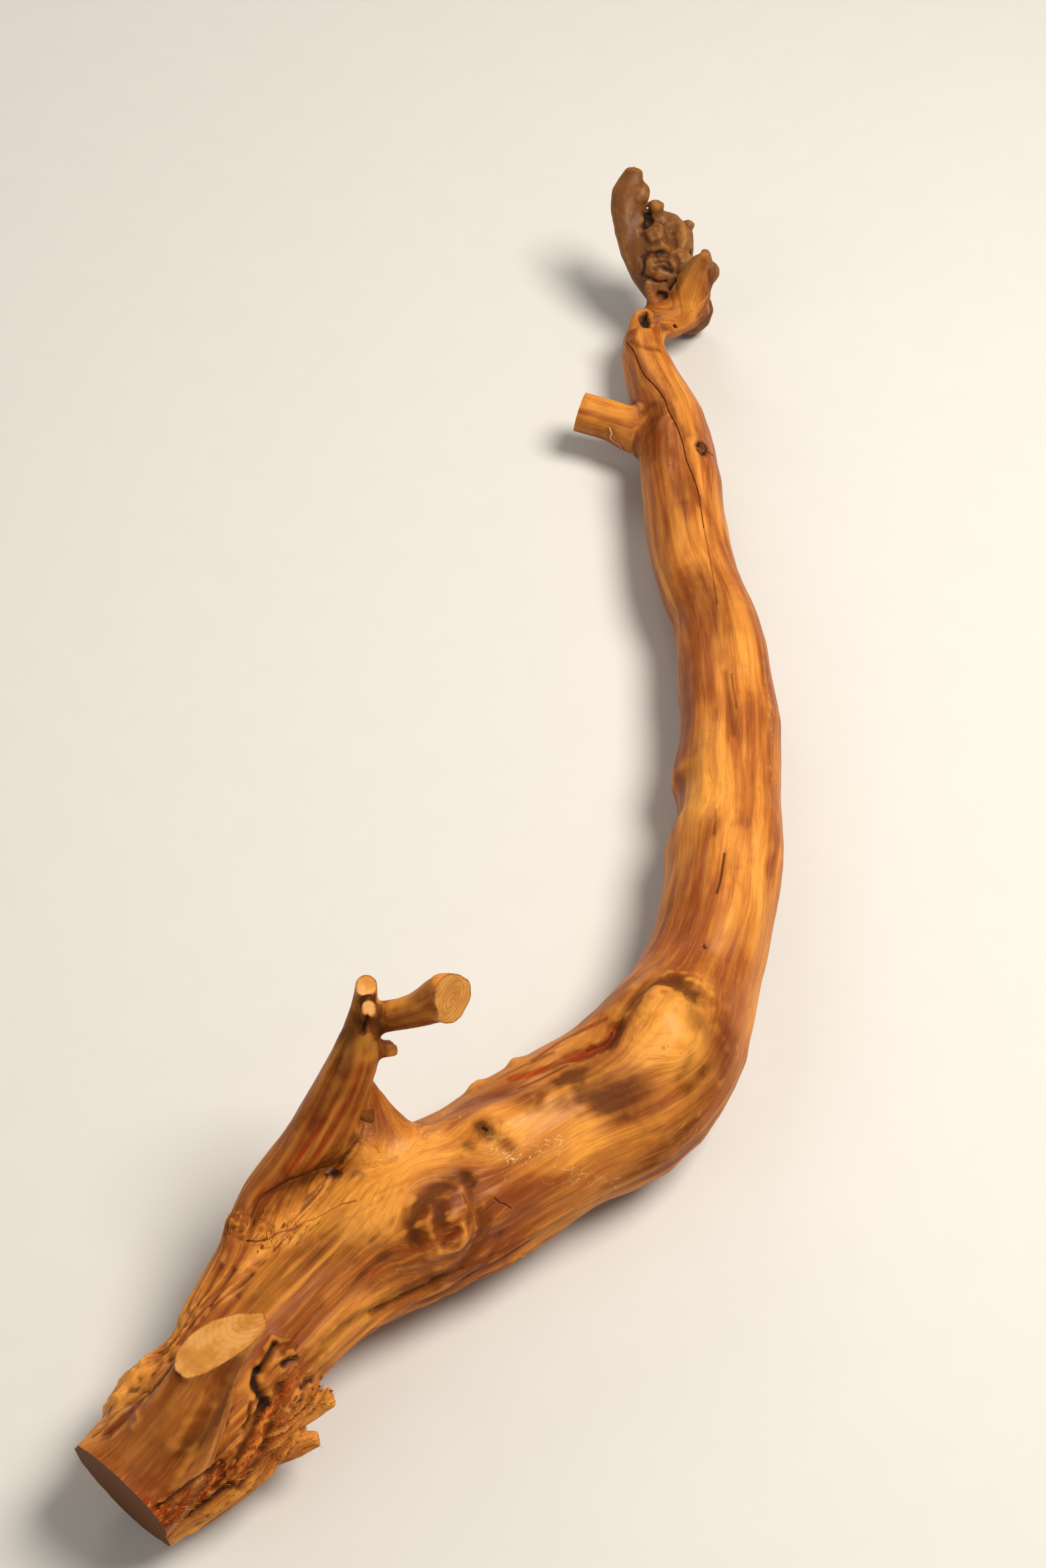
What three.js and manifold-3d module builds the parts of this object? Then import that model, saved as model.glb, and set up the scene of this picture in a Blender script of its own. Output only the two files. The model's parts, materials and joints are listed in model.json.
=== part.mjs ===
// A stabilized root: one grown piece of wood without its bark, lying on its side, its ends sawn.
// Millimetres, +Z up. It rests on z = 0, its length runs along Y, and its sawn butt is at low Y.

import * as THREE from 'three';
import { ImprovedNoise } from 'three/addons/math/ImprovedNoise.js';
import { mergeVertices } from 'three/addons/utils/BufferGeometryUtils.js';
import Module from 'manifold-3d';

const wasm = await Module();
wasm.setup();

// Gap at each fork, where one piece ends and the next begins
const KERF = 0.3;

// Facets round a limb and the distance between its rings
const STEM_FACETS = { sides: 22, spacing: 15 };
const BRANCH_FACETS = { sides: 12, spacing: 11 };
const CROWN_FACETS = { sides: 10, spacing: 9 };
const SPUR_FACETS = { sides: 8, spacing: 7 };
const PLATE_SIDES = 16;
const MASS_DETAIL = 1;

// Points closer than this are one corner
const MERGE_GAP = 1e-4;

// Slow and quick unevenness of the weathered surface: wavelength and height
const SWELL = { wave: 58, height: 2.6 };
const LUMP = { wave: 21, height: 1.1 };

// Half width from which a limb carries the whole unevenness
const FULL_RELIEF_WIDTH = 25;

// A limb's stations, from its root to its tip: x, y, z, half width, half height
const STEM = [
  [-203, -508, 41, 30, 38],
  [-172, -472, 41, 31, 40],
  [-133, -427, 42, 36, 41],
  [-95, -372, 44, 42, 43],
  [-46, -332, 46, 45, 45],
  [4, -308, 47, 46, 46],
  [48, -276, 48, 46, 46],
  [90, -252, 48, 47, 47],
  [119, -214, 46, 43, 45],
  [140, -162, 42, 34, 38],
  [151, -116, 40, 34, 35],
  [159, -66, 39, 33, 34],
  [162, -16, 39, 32, 33],
  [163, 37, 38, 31, 32],
  [159, 94, 37, 28, 30],
  [146, 152, 36, 27, 28],
  [142, 212, 34, 27, 28],
  [138, 274, 32, 24, 26],
  [126, 329, 29, 19.5, 21],
  [120, 367, 28, 15, 17],
  [127, 386, 30, 14, 16],
  [143, 393, 34, 15, 17],
  [157, 399, 38, 14, 17],
  [166, 403, 40, 9, 13],
];

// The side branch starts as a ridge on the butt's left flank and then rises
const SIDE_BRANCH = [
  [-176, -450, 42, 11, 14],
  [-164, -421, 48, 19, 20],
  [-143, -400, 50, 16, 18],
  [-116, -363, 60, 18.5, 21],
  [-100, -328, 75, 18.5, 20],
  [-79, -305, 98, 17, 18],
  [-61, -282, 125, 14, 15.5],
  [-53, -270, 145, 12, 12.5],
  [-50, -260, 161, 8.2, 8.7],
  [-48, -252, 182, 4.8, 4.8],
];
const SIDE_NUB = [
  [-48, -262, 158, 5, 5],
  [-47, -266, 170, 4.2, 4.2],
  [-46, -269, 184, 4, 4],
];
const ARM = [
  [-55, -262, 148, 9, 9],
  [-44, -261, 154, 8.5, 9.5],
  [-31, -261, 158, 8, 10.5],
  [-18, -261, 165, 8.5, 12.5],
  [-6, -261, 176, 9.5, 16.5],
  [7, -261, 184, 10, 18],
];
const COLLAR = [
  [-26, -314, 48, 30, 28],
  [-41, -297, 76, 21, 19],
  [-47, -283, 97, 11, 10],
  [-48, -275, 115, 2.5, 2.5],
];

// The stump on the butt leans along the stem and is sawn off above it
const CUT_STEM = [
  [-190, -489, 42, 33, 36],
  [-159, -467, 60, 32, 29],
  [-139, -450, 84, 24, 22],
  [-119, -426, 110, 15, 14.5],
  [-97, -407, 138, 12, 12],
];
const SIDE_STUB = [
  [140, 268, 30, 18, 19],
  [114, 278, 30, 16, 17],
  [94, 288, 32, 14.5, 14.5],
  [60, 297, 35, 14, 14],
];

// The burl on the butt's right flank, its two spurs and the bark plate that stands off it
const BURL = [
  [-163, -492, 30, 8, 14],
  [-135, -472, 33, 14, 19],
  [-108, -449, 41, 17, 22],
  [-88, -423, 46, 14, 17],
  [-80, -405, 46, 5, 7],
];
const UPPER_SPUR = [
  [-97, -438, 44, 9, 9],
  [-79, -431, 44, 6, 6.5],
  [-66, -424, 47, 4.8, 4.8],
];
const LOWER_SPUR = [
  [-104, -452, 36, 9, 9],
  [-86, -446, 36, 7, 7],
  [-73, -443, 38, 4.5, 4.5],
];
const BARK_PLATE = [
  [-138, -487, 28, 3, 9],
  [-122, -474, 30, 3.5, 11],
  [-102, -458, 32, 3, 9],
];

// The crown: a wing that stands on the neck, a curled core and a long blade behind it
const WING = [
  [148, 394, 36, 17, 12],
  [155, 398, 56, 16, 9],
  [161, 401, 76, 10, 7],
  [163, 402, 87, 4, 4],
];
const BLADE = [
  [137, 402, 38, 10, 10],
  [123, 420, 54, 13, 11],
  [114, 440, 68, 13.5, 10],
  [109, 462, 86, 13, 8],
  [114, 478, 98, 6, 5],
];
const RIGHT_LOBE = [
  [140, 414, 44, 13, 15],
  [145, 426, 58, 12, 12],
  [146, 445, 68, 11, 9.5],
  [133, 452, 74, 8, 7],
];
const BLADE_NUB = [
  [125, 446, 68, 8, 7],
  [129, 452, 78, 5.5, 5.5],
  [131, 455, 87, 5.5, 5.5],
];
const LOBE_NUB = [
  [148, 438, 63, 7, 6],
  [152, 446, 68, 4, 4],
  [156, 452, 71, 4.5, 4.5],
];
const SPIRE = [
  [129, 390, 34, 8, 7],
  [127, 397, 46, 5, 5],
  [122, 403, 58, 2, 2],
];
const HOOK = [
  [112, 367, 34, 5, 5],
  [112, 371, 44, 3.2, 3.2],
  [115, 377, 51, 2.6, 2.6],
  [120, 380, 51, 2.2, 2.2],
  [126, 381, 45, 2.4, 2.4],
];

// Rounded masses: centre and half sizes
const MASSES = [
  { at: [139, 410, 42], half: [16, 15, 26] },
  { at: [129, 414, 58], half: [11, 11, 12] },
  { at: [147, 416, 58], half: [12, 11, 14] },
  { at: [129, 434, 65], half: [12, 18, 16] },
  { at: [156, 412, 20], half: [18, 14, 20] },
  { at: [168, 403, 66], half: [7, 6, 10] },
  { at: [119, 463, 88], half: [6, 9, 8] },
  { at: [-40, -270, 137], half: [7, 4, 6] },
  { at: [-58, -302, 86], half: [18, 13, 16] },
];

// Swellings and hollows of the skin, along a line or at a point: reach and height, below zero for a hollow
const MARKS = [
  // Swelling in the bend, and the hollows behind it and below it
  { from: [104, -226, 96], to: [116, -214, 94], reach: 19, rise: 9 },
  { from: [126, -188, 84], to: [134, -186, 78], reach: 13, rise: -6 },
  { from: [74, -268, 92], to: [112, -262, 80], reach: 15, rise: -4 },
  // Fold along the inside of the bend
  { from: [20, -268, 84], to: [85, -234, 92], reach: 10, rise: -7 },
  { from: [24, -286, 92], to: [70, -262, 95], reach: 14, rise: 5 },
  // Knot on the trunk: a swelling and the hollows that sweep round it
  { from: [-13, -351, 82], to: [-13, -351, 82], reach: 16, rise: 8 },
  { from: [-44, -368, 78], to: [-30, -380, 66], reach: 13, rise: -5 },
  { from: [10, -362, 62], to: [40, -336, 70], reach: 13, rise: -6 },
  // Ragged ledge and hollow low on the right flank
  { from: [-66, -402, 46], to: [23, -352, 46], reach: 11, rise: 5 },
  { from: [-62, -394, 22], to: [26, -346, 20], reach: 13, rise: -5 },
  // Groove between the side branch's ridge and the butt
  { from: [-150, -430, 76], to: [-80, -328, 92], reach: 10, rise: -8 },
  // Small knots on the trunk and on the upper stem
  { from: [15, -294, 94], to: [15, -294, 94], reach: 11, rise: 5 },
  { from: [154, 235, 60], to: [154, 235, 60], reach: 10, rise: 3 },
  // Long hollows and ridges that run down the upper stem
  { from: [151, 60, 70], to: [153, 140, 64], reach: 12, rise: -3 },
  { from: [140, -130, 74], to: [150, -20, 72], reach: 11, rise: 3 },
  { from: [166, -110, 68], to: [172, 30, 64], reach: 10, rise: -3 },
  // Waist and bulges of the upper stem's left side
  { from: [124, -76, 48], to: [124, -80, 40], reach: 14, rise: 5 },
  { from: [128, -28, 44], to: [128, -32, 38], reach: 12, rise: 5 },
  { from: [126, -52, 46], to: [126, -52, 38], reach: 10, rise: -4 },
  { from: [120, -130, 50], to: [112, -158, 50], reach: 13, rise: 3 },
];

// Holes and clefts: centre, half sizes and the direction of the long axis
const PITS = [
  { at: [-11, -356, 89], half: [10, 10, 5], along: [0.27, -0.6, 0.75] },
  { at: [126, 440, 84], half: [4.5, 4.5, 15], along: [0.1, -0.6, 0.8] },
  { at: [136, 398, 64], half: [5, 5, 10], along: [0, -0.6, 0.8] },
  { at: [138, 410, 80], half: [4, 4, 12], along: [0.2, -0.6, 0.8] },
  { at: [-100, -430, 76], half: [5, 4, 18], along: [0.5, 0.8, 0.2] },
];

// Sawn faces: a point on the plane, its outward direction and how far the cut reaches
const BUTT_SAW = { at: [-171, -473, 45], along: [-0.645, -0.764, 0], reach: 130 };
const OVAL_SAW = { at: [-111, -419, 120], along: [-0.32, 0.23, 0.92], reach: 45 };
const STUB_SAW = { at: [73, 296, 34], along: [-0.94, 0.3, 0.12], reach: 30 };
const ARM_SAW = { at: [-6, -263, 180], along: [0.74, -0.62, 0.26], reach: 30 };
const TIP_SAW = { at: [-48, -253, 179], along: [0.1, -0.2, 0.97], reach: 12 };
const NUB_SAW = { at: [-46, -268, 178], along: [0.1, -0.5, 0.86], reach: 8 };

// Forks: a point in the wood, the direction in which the limb runs there and the reach of the cut
const FORKS = [
  { at: [14, -303, 48], along: [0.87, 0.49, 0], reach: 62 },
  { at: [-68, -293, 111], along: [0.45, 0.57, 0.68], reach: 20 },
  { at: [-33, -261, 157.5], along: [0.9, 0, 0.43], reach: 14.5 },
  { at: [-126, -432, 105], along: [0.5, 0.45, 0.72], reach: 22 },
  { at: [99, 286, 32], along: [-0.89, 0.45, 0], reach: 18 },
  { at: [127, 321, 30], along: [-0.26, 0.96, 0], reach: 27 },
  { at: [121, 379, 29], along: [0.42, 0.9, 0], reach: 26 },
  { at: [146, 407, 36], along: [-0.3, 0.95, 0], reach: 50 },
];

// Each piece by a point inside it, with the colour and gloss of its wood
const PIECES = [
  { name: 'butt', inside: [-110, -400, 42], colour: 0xb5682f, roughness: 0.5 },
  { name: 'cut_stem', inside: [-122, -429, 108], colour: 0x9d5a28, roughness: 0.52 },
  { name: 'trunk', inside: [90, -250, 46], colour: 0xc07635, roughness: 0.42 },
  { name: 'side_branch', inside: [-57, -277, 132], colour: 0x87502a, roughness: 0.5 },
  { name: 'branch_arm', inside: [-18, -262, 168], colour: 0xa96c38, roughness: 0.52 },
  { name: 'side_stub', inside: [90, 298, 33], colour: 0xb06a30, roughness: 0.5 },
  { name: 'upper_stem', inside: [126, 345, 29], colour: 0xad6630, roughness: 0.46 },
  { name: 'crown_wing', inside: [156, 394, 40], colour: 0x9c6534, roughness: 0.55 },
  { name: 'crown_blade', inside: [112, 440, 62], colour: 0x915b31, roughness: 0.58 },
];

const UP = new THREE.Vector3(0, 0, 1);
const WING_FRONT = new THREE.Vector3(0, -1, 0.2);
const noise = new ImprovedNoise();

// Turns a closed three.js geometry into a solid
function solidOf(geometry) {
  geometry.deleteAttribute('normal');
  geometry.deleteAttribute('uv');
  const merged = mergeVertices(geometry, MERGE_GAP);
  return new wasm.Manifold(new wasm.Mesh({
    numProp: 3,
    vertProperties: new Float32Array(merged.attributes.position.array),
    triVerts: new Uint32Array(merged.index.array),
  }));
}

// How far the skin stands out at a point: slow swells, quick lumps and the named marks
function relief(point, scale) {
  const { x, y, z } = point;
  let height = scale * SWELL.height * noise.noise(x / SWELL.wave, y / SWELL.wave, z / SWELL.wave);
  height += scale * LUMP.height * noise.noise(x / LUMP.wave, y / LUMP.wave, z / LUMP.wave);
  for (const { from, to, reach, rise } of MARKS) {
    const line = new THREE.Line3(new THREE.Vector3(...from), new THREE.Vector3(...to));
    const nearest = line.closestPointToPoint(point, true, new THREE.Vector3());
    height += rise * Math.exp(-nearest.distanceToSquared(point) / (2 * reach * reach));
  }
  return height;
}

// A limb: a cylinder bent along its stations, its girth following theirs
function limb(stations, { sides, spacing }, up = UP) {
  const path = new THREE.CatmullRomCurve3(stations.map(([x, y, z]) => new THREE.Vector3(x, y, z)));
  const girth = new THREE.CatmullRomCurve3(stations.map(([, , , w, h]) => new THREE.Vector3(w, h, 0)));
  const geometry = new THREE.CylinderGeometry(1, 1, 1, sides, Math.round(path.getLength() / spacing));
  const position = geometry.attributes.position;
  const side = new THREE.Vector3();
  const rise = new THREE.Vector3();
  const out = new THREE.Vector3();
  for (let i = 0; i < position.count; i += 1) {
    const along = path.getUtoTmapping(position.getY(i) + 0.5);
    const tangent = path.getTangent(along);
    const [w, h] = girth.getPoint(along).toArray();
    side.crossVectors(tangent, up).normalize();
    rise.crossVectors(side, tangent);
    out.copy(side).multiplyScalar(position.getX(i) * w).addScaledVector(rise, position.getZ(i) * h);
    const point = path.getPoint(along).add(out);
    if (out.lengthSq() > 0) point.addScaledVector(out.normalize(), relief(point, Math.min(1, w / FULL_RELIEF_WIDTH)));
    position.setXYZ(i, point.x, point.y, point.z);
  }
  return solidOf(geometry);
}

// A rounded lump of wood
function mass({ at, half }) {
  const geometry = new THREE.IcosahedronGeometry(1, MASS_DETAIL);
  geometry.scale(...half);
  geometry.translate(...at);
  return solidOf(geometry);
}

// An ellipsoid whose long axis lies along a direction
function pit({ at, half, along }) {
  const geometry = new THREE.IcosahedronGeometry(1, MASS_DETAIL);
  geometry.scale(...half);
  geometry.applyQuaternion(towards(along));
  geometry.translate(...at);
  return solidOf(geometry);
}

function towards(along) {
  return new THREE.Quaternion().setFromUnitVectors(UP, new THREE.Vector3(...along).normalize());
}

// A round plate that starts on a plane and runs some thickness along its direction
function plate({ at, along, reach }, thickness) {
  const geometry = new THREE.CylinderGeometry(reach, reach, thickness, PLATE_SIDES);
  geometry.rotateX(Math.PI / 2);
  geometry.translate(0, 0, thickness / 2);
  geometry.applyQuaternion(towards(along));
  geometry.translate(...at);
  return solidOf(geometry);
}

function sawn(solid, saw) {
  return solid.subtract(plate(saw, saw.reach));
}

const limbs = [
  limb(STEM, STEM_FACETS),
  limb(BURL, BRANCH_FACETS),
  limb(UPPER_SPUR, SPUR_FACETS),
  limb(LOWER_SPUR, SPUR_FACETS),
  limb(BARK_PLATE, SPUR_FACETS),
  limb(COLLAR, BRANCH_FACETS),
  sawn(limb(SIDE_BRANCH, BRANCH_FACETS), TIP_SAW),
  sawn(limb(SIDE_NUB, SPUR_FACETS), NUB_SAW),
  sawn(limb(ARM, CROWN_FACETS), ARM_SAW),
  sawn(limb(CUT_STEM, BRANCH_FACETS), OVAL_SAW),
  sawn(limb(SIDE_STUB, BRANCH_FACETS), STUB_SAW),
  limb(WING, CROWN_FACETS, WING_FRONT),
  limb(BLADE, CROWN_FACETS),
  limb(RIGHT_LOBE, CROWN_FACETS),
  limb(BLADE_NUB, SPUR_FACETS),
  limb(LOBE_NUB, SPUR_FACETS),
  limb(SPIRE, SPUR_FACETS),
  limb(HOOK, SPUR_FACETS),
  ...MASSES.map(mass),
];
const grown = limbs.reduce((whole, part) => whole.add(part));
const pitted = PITS.reduce((whole, hollow) => whole.subtract(pit(hollow)), sawn(grown, BUTT_SAW));
const forked = FORKS.reduce((whole, fork) => whole.subtract(plate(fork, KERF)), pitted);
const bodies = forked.decompose();

function meshOf({ name, inside, colour, roughness }) {
  const probe = solidOf(new THREE.OctahedronGeometry(1).translate(...inside));
  const body = bodies.find((candidate) => !candidate.intersect(probe).isEmpty());
  const { vertProperties, triVerts } = body.getMesh();
  const geometry = new THREE.BufferGeometry();
  geometry.setAttribute('position', new THREE.BufferAttribute(vertProperties, 3));
  geometry.setIndex(new THREE.BufferAttribute(triVerts, 1));
  geometry.computeVertexNormals();
  const material = new THREE.MeshStandardMaterial({ color: colour, roughness, metalness: 0 });
  const mesh = new THREE.Mesh(geometry, material);
  mesh.name = name;
  return mesh;
}

const root = new THREE.Group();
root.name = 'root_wood';
root.add(...PIECES.map(meshOf));

// The origin is the middle of the underside of the whole root
const extent = new THREE.Box3().setFromObject(root);
root.position.set(-(extent.min.x + extent.max.x) / 2, -(extent.min.y + extent.max.y) / 2, -extent.min.z);

export default root;
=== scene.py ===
"""A stabilized root: one grown piece of wood without its bark, oiled and polished, lying on a studio floor.

The solids of the frame are wrapped in one even skin. The skin gets its flutes, cracks, knots, crumbling
ridges and crisp saw cuts, and is then parted at the forks, so that each solid has a piece that replaces it.
"""

import functools
import json
import math

import bpy
import numpy as np
from bpy.props import FloatProperty, FloatVectorProperty, IntProperty, PointerProperty
from bpy.types import Operator, Panel, PropertyGroup
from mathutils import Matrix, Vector
from mathutils.bvhtree import BVHTree
from mathutils.geometry import delaunay_2d_cdt

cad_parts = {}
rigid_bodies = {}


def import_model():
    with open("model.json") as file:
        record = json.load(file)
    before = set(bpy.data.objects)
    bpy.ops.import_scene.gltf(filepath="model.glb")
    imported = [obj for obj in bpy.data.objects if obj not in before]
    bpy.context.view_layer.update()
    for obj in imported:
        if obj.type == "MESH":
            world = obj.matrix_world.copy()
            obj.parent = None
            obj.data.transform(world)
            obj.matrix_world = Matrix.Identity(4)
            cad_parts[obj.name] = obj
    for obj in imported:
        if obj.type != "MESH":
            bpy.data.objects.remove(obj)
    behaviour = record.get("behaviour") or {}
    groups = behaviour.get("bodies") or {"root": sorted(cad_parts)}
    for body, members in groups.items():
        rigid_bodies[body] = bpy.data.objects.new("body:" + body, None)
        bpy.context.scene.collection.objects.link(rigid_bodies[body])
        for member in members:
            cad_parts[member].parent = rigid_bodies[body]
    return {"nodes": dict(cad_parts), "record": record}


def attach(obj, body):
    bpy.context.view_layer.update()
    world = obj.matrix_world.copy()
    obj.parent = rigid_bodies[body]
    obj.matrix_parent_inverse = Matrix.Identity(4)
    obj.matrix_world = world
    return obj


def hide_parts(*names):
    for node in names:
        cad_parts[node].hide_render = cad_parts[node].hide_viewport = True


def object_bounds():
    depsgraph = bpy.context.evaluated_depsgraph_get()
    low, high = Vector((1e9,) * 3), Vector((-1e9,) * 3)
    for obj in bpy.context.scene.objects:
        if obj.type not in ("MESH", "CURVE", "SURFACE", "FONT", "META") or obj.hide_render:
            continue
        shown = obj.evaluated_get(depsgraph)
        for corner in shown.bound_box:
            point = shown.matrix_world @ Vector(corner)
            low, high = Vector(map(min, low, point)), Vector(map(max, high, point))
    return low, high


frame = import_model()
CAD_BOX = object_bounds()

bl_info = {
    "name": "Stabilized root wood",
    "version": (1, 0, 0),
    "blender": (4, 5, 0),
    "location": "3D View > Sidebar > Root",
    "description": "Dresses the root's solids in polished, knotted and weathered wood",
    "category": "Object",
}

MM = 0.001

# Sawn faces: a point on the plane, its outward direction and how far the limb reaches round it, in mm
SAWS = {
    "butt": ((-171, -473, 45), (-0.645, -0.764, 0), 110),
    "oval": ((-111, -419, 120), (-0.32, 0.23, 0.92), 42),
    "stub": ((73, 296, 34), (-0.94, 0.3, 0.12), 26),
    "arm": ((-6, -263, 180), (0.74, -0.62, 0.26), 26),
    "tip": ((-48, -253, 179), (0.1, -0.2, 0.97), 9),
    "nub": ((-46, -268, 178), (0.1, -0.5, 0.86), 7),
}
SAW_EXTRA = 12

# Where a sawn face's rings are centred in the picture, how far they are drawn out along the limb, how much
# painted shade darkens the face and how pale the face is
SAW_FACES = {
    # The butt's face lies in shade: its darkness is painted shade.
    "butt": ((205, 2235), 1.0, 0.9, 0.0),
    "oval": ((390, 1966), 1.4, 0.0, 0.6),
    "stub": ((868, 606), 1.0, 0.1, 0.2),
    "arm": ((676, 1500), 1.3, 0.0, 0.4),
    "tip": ((551, 1464), 1.0, 0.0, 1.0),
    "nub": ((551, 1500), 1.0, 0.0, 1.0),
}

# Forks: the pieces before and after it, a point, the direction of the limb and the reach of the cut, in mm
FORKS = [
    ("butt", "trunk", (14, -303, 48), (0.87, 0.49, 0), 66),
    ("butt", "side_branch", (-68, -293, 111), (0.45, 0.57, 0.68), 24),
    ("side_branch", "branch_arm", (-33, -261, 157.5), (0.9, 0, 0.43), 18),
    ("butt", "cut_stem", (-126, -432, 105), (0.5, 0.45, 0.72), 28),
    ("trunk", "side_stub", (99, 286, 32), (-0.89, 0.45, 0), 24),
    ("trunk", "upper_stem", (127, 321, 30), (-0.26, 0.96, 0), 32),
    ("upper_stem", "crown_wing", (121, 379, 29), (0.42, 0.9, 0), 30),
    ("crown_wing", "crown_blade", (146, 407, 36), (-0.3, 0.95, 0), 55),
]
KERF = 0.3

# The way that the fibres run: each limb's middle line from its root, x, y, z and its radius, in mm
LIMBS = {
    "stem": (None, [
        (-203, -508, 41, 34), (-133, -427, 42, 38), (-46, -332, 46, 45), (4, -308, 47, 46),
        (48, -276, 48, 46), (90, -252, 48, 47), (119, -214, 46, 44), (140, -162, 42, 36),
        (151, -116, 40, 34), (162, -16, 39, 33), (163, 37, 38, 31), (159, 94, 37, 29),
        (146, 152, 36, 27), (142, 212, 34, 27), (138, 274, 32, 25), (126, 329, 29, 20),
        (120, 367, 28, 16), (127, 386, 30, 15), (143, 393, 34, 16), (166, 403, 40, 14),
    ]),
    "side_branch": ("stem", [
        (-176, -450, 42, 13), (-143, -400, 50, 18), (-116, -363, 60, 21), (-100, -328, 75, 20),
        (-79, -305, 98, 17), (-61, -282, 125, 15), (-53, -270, 145, 12), (-48, -252, 182, 6),
    ]),
    "side_nub": ("side_branch", [(-48, -262, 158, 6), (-46, -269, 184, 4)]),
    "arm": ("side_branch", [
        (-55, -262, 148, 9), (-31, -261, 158, 9), (-18, -261, 165, 10), (7, -261, 184, 13),
    ]),
    "collar": ("stem", [(-26, -314, 48, 30), (-41, -297, 76, 20), (-47, -283, 97, 11), (-48, -275, 115, 4)]),
    "cut_stem": ("stem", [(-190, -489, 42, 33), (-139, -450, 84, 22), (-97, -407, 138, 12)]),
    "side_stub": ("stem", [(140, 268, 30, 18), (94, 288, 32, 14.5), (60, 297, 35, 14)]),
    "burl": ("stem", [(-163, -492, 30, 11), (-135, -472, 33, 17), (-108, -449, 41, 19), (-80, -405, 46, 6)]),
    "upper_spur": ("burl", [(-97, -438, 44, 9), (-79, -431, 44, 6), (-66, -424, 47, 5)]),
    "lower_spur": ("burl", [(-104, -452, 36, 9), (-86, -446, 36, 7), (-73, -443, 38, 4.5)]),
    "wing": ("stem", [(148, 394, 36, 14), (155, 398, 56, 12), (163, 402, 87, 5)]),
    "core": ("stem", [(143, 397, 38, 18), (136, 410, 46, 16), (129, 430, 64, 13)]),
    "blade": ("core", [(137, 402, 38, 10), (114, 440, 68, 11), (109, 462, 86, 10), (114, 478, 98, 6)]),
    "lobe": ("core", [(140, 414, 44, 14), (145, 426, 58, 12), (144, 442, 67, 10), (133, 452, 74, 7)]),
    "lobe_nub": ("lobe", [(148, 438, 63, 7), (156, 452, 71, 4.5)]),
    "spire": ("core", [(129, 390, 34, 8), (127, 397, 46, 5), (122, 403, 58, 2)]),
    "hook": ("stem", [(112, 367, 34, 5), (112, 371, 44, 3.2), (115, 377, 51, 2.6), (126, 381, 45, 2.4)]),
}
LIMB_STEP = 2.0
LIMB_BLEND = 0.7

# How often the skin is evened out, how often its inner corners are, and how often its edges are halved
EVEN_ROUNDS = 50
FILLET_ROUNDS = 120
HALVE_ROUNDS = 3
# Where the gnarled crown begins and is full, along the root in metres
CROWN_FROM, CROWN_FULL = 0.395, 0.41
# Marks narrower than this are drawn closely: the distance between their points, and between a wide mark's
NARROW = 2.5
CLOSE_PIXELS, WIDE_PIXELS = 9, 60
# An edge that nothing asks to be shorter, the crown's edges and the points of a sawn face, in mm
ANY_EDGE = 9
CROWN_EDGE = 1.15
CAP_STEP = 1.5

# The camera stands here over the studio floor, in the same frame as the limbs, and looks down
CAMERA_AT = (32, -810, 1150)
CAMERA_DOWN = math.radians(55)
LENS = 50
SENSOR = 36
PICTURE = (1568, 2351)

# Knots that the fibres run round: where each shows in the picture, its radius in mm, how far it bends them
# and how clear its own rings are
KNOTS = [
    ((662, 1828), 15, 1.0, 0.7),
    ((727, 1693), 5, 0.9, 0.9),
    ((1053, 671), 4, 1.0, 1.0),
    ((703, 1771), 3.5, 0.8, 0.6),
    ((1005, 1535), 17, 0.6, 0.0),
    ((1012, 490), 2.5, 0.8, 0.8),
    ((560, 1790), 6, 0.4, 0.0),
    ((1050, 1192), 9, 0.5, 0.0),
    ((932, 668), 5, 0.8, 0.3),
]


def stroke(line, reach, rise=0.0, crumb=0.0, **tones):
    """A mark drawn along points of the picture: its half width, its height in mm and its tones' strength."""
    return {"line": line, "reach": reach, "rise": rise, "crumb": crumb, "tones": tones}


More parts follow.
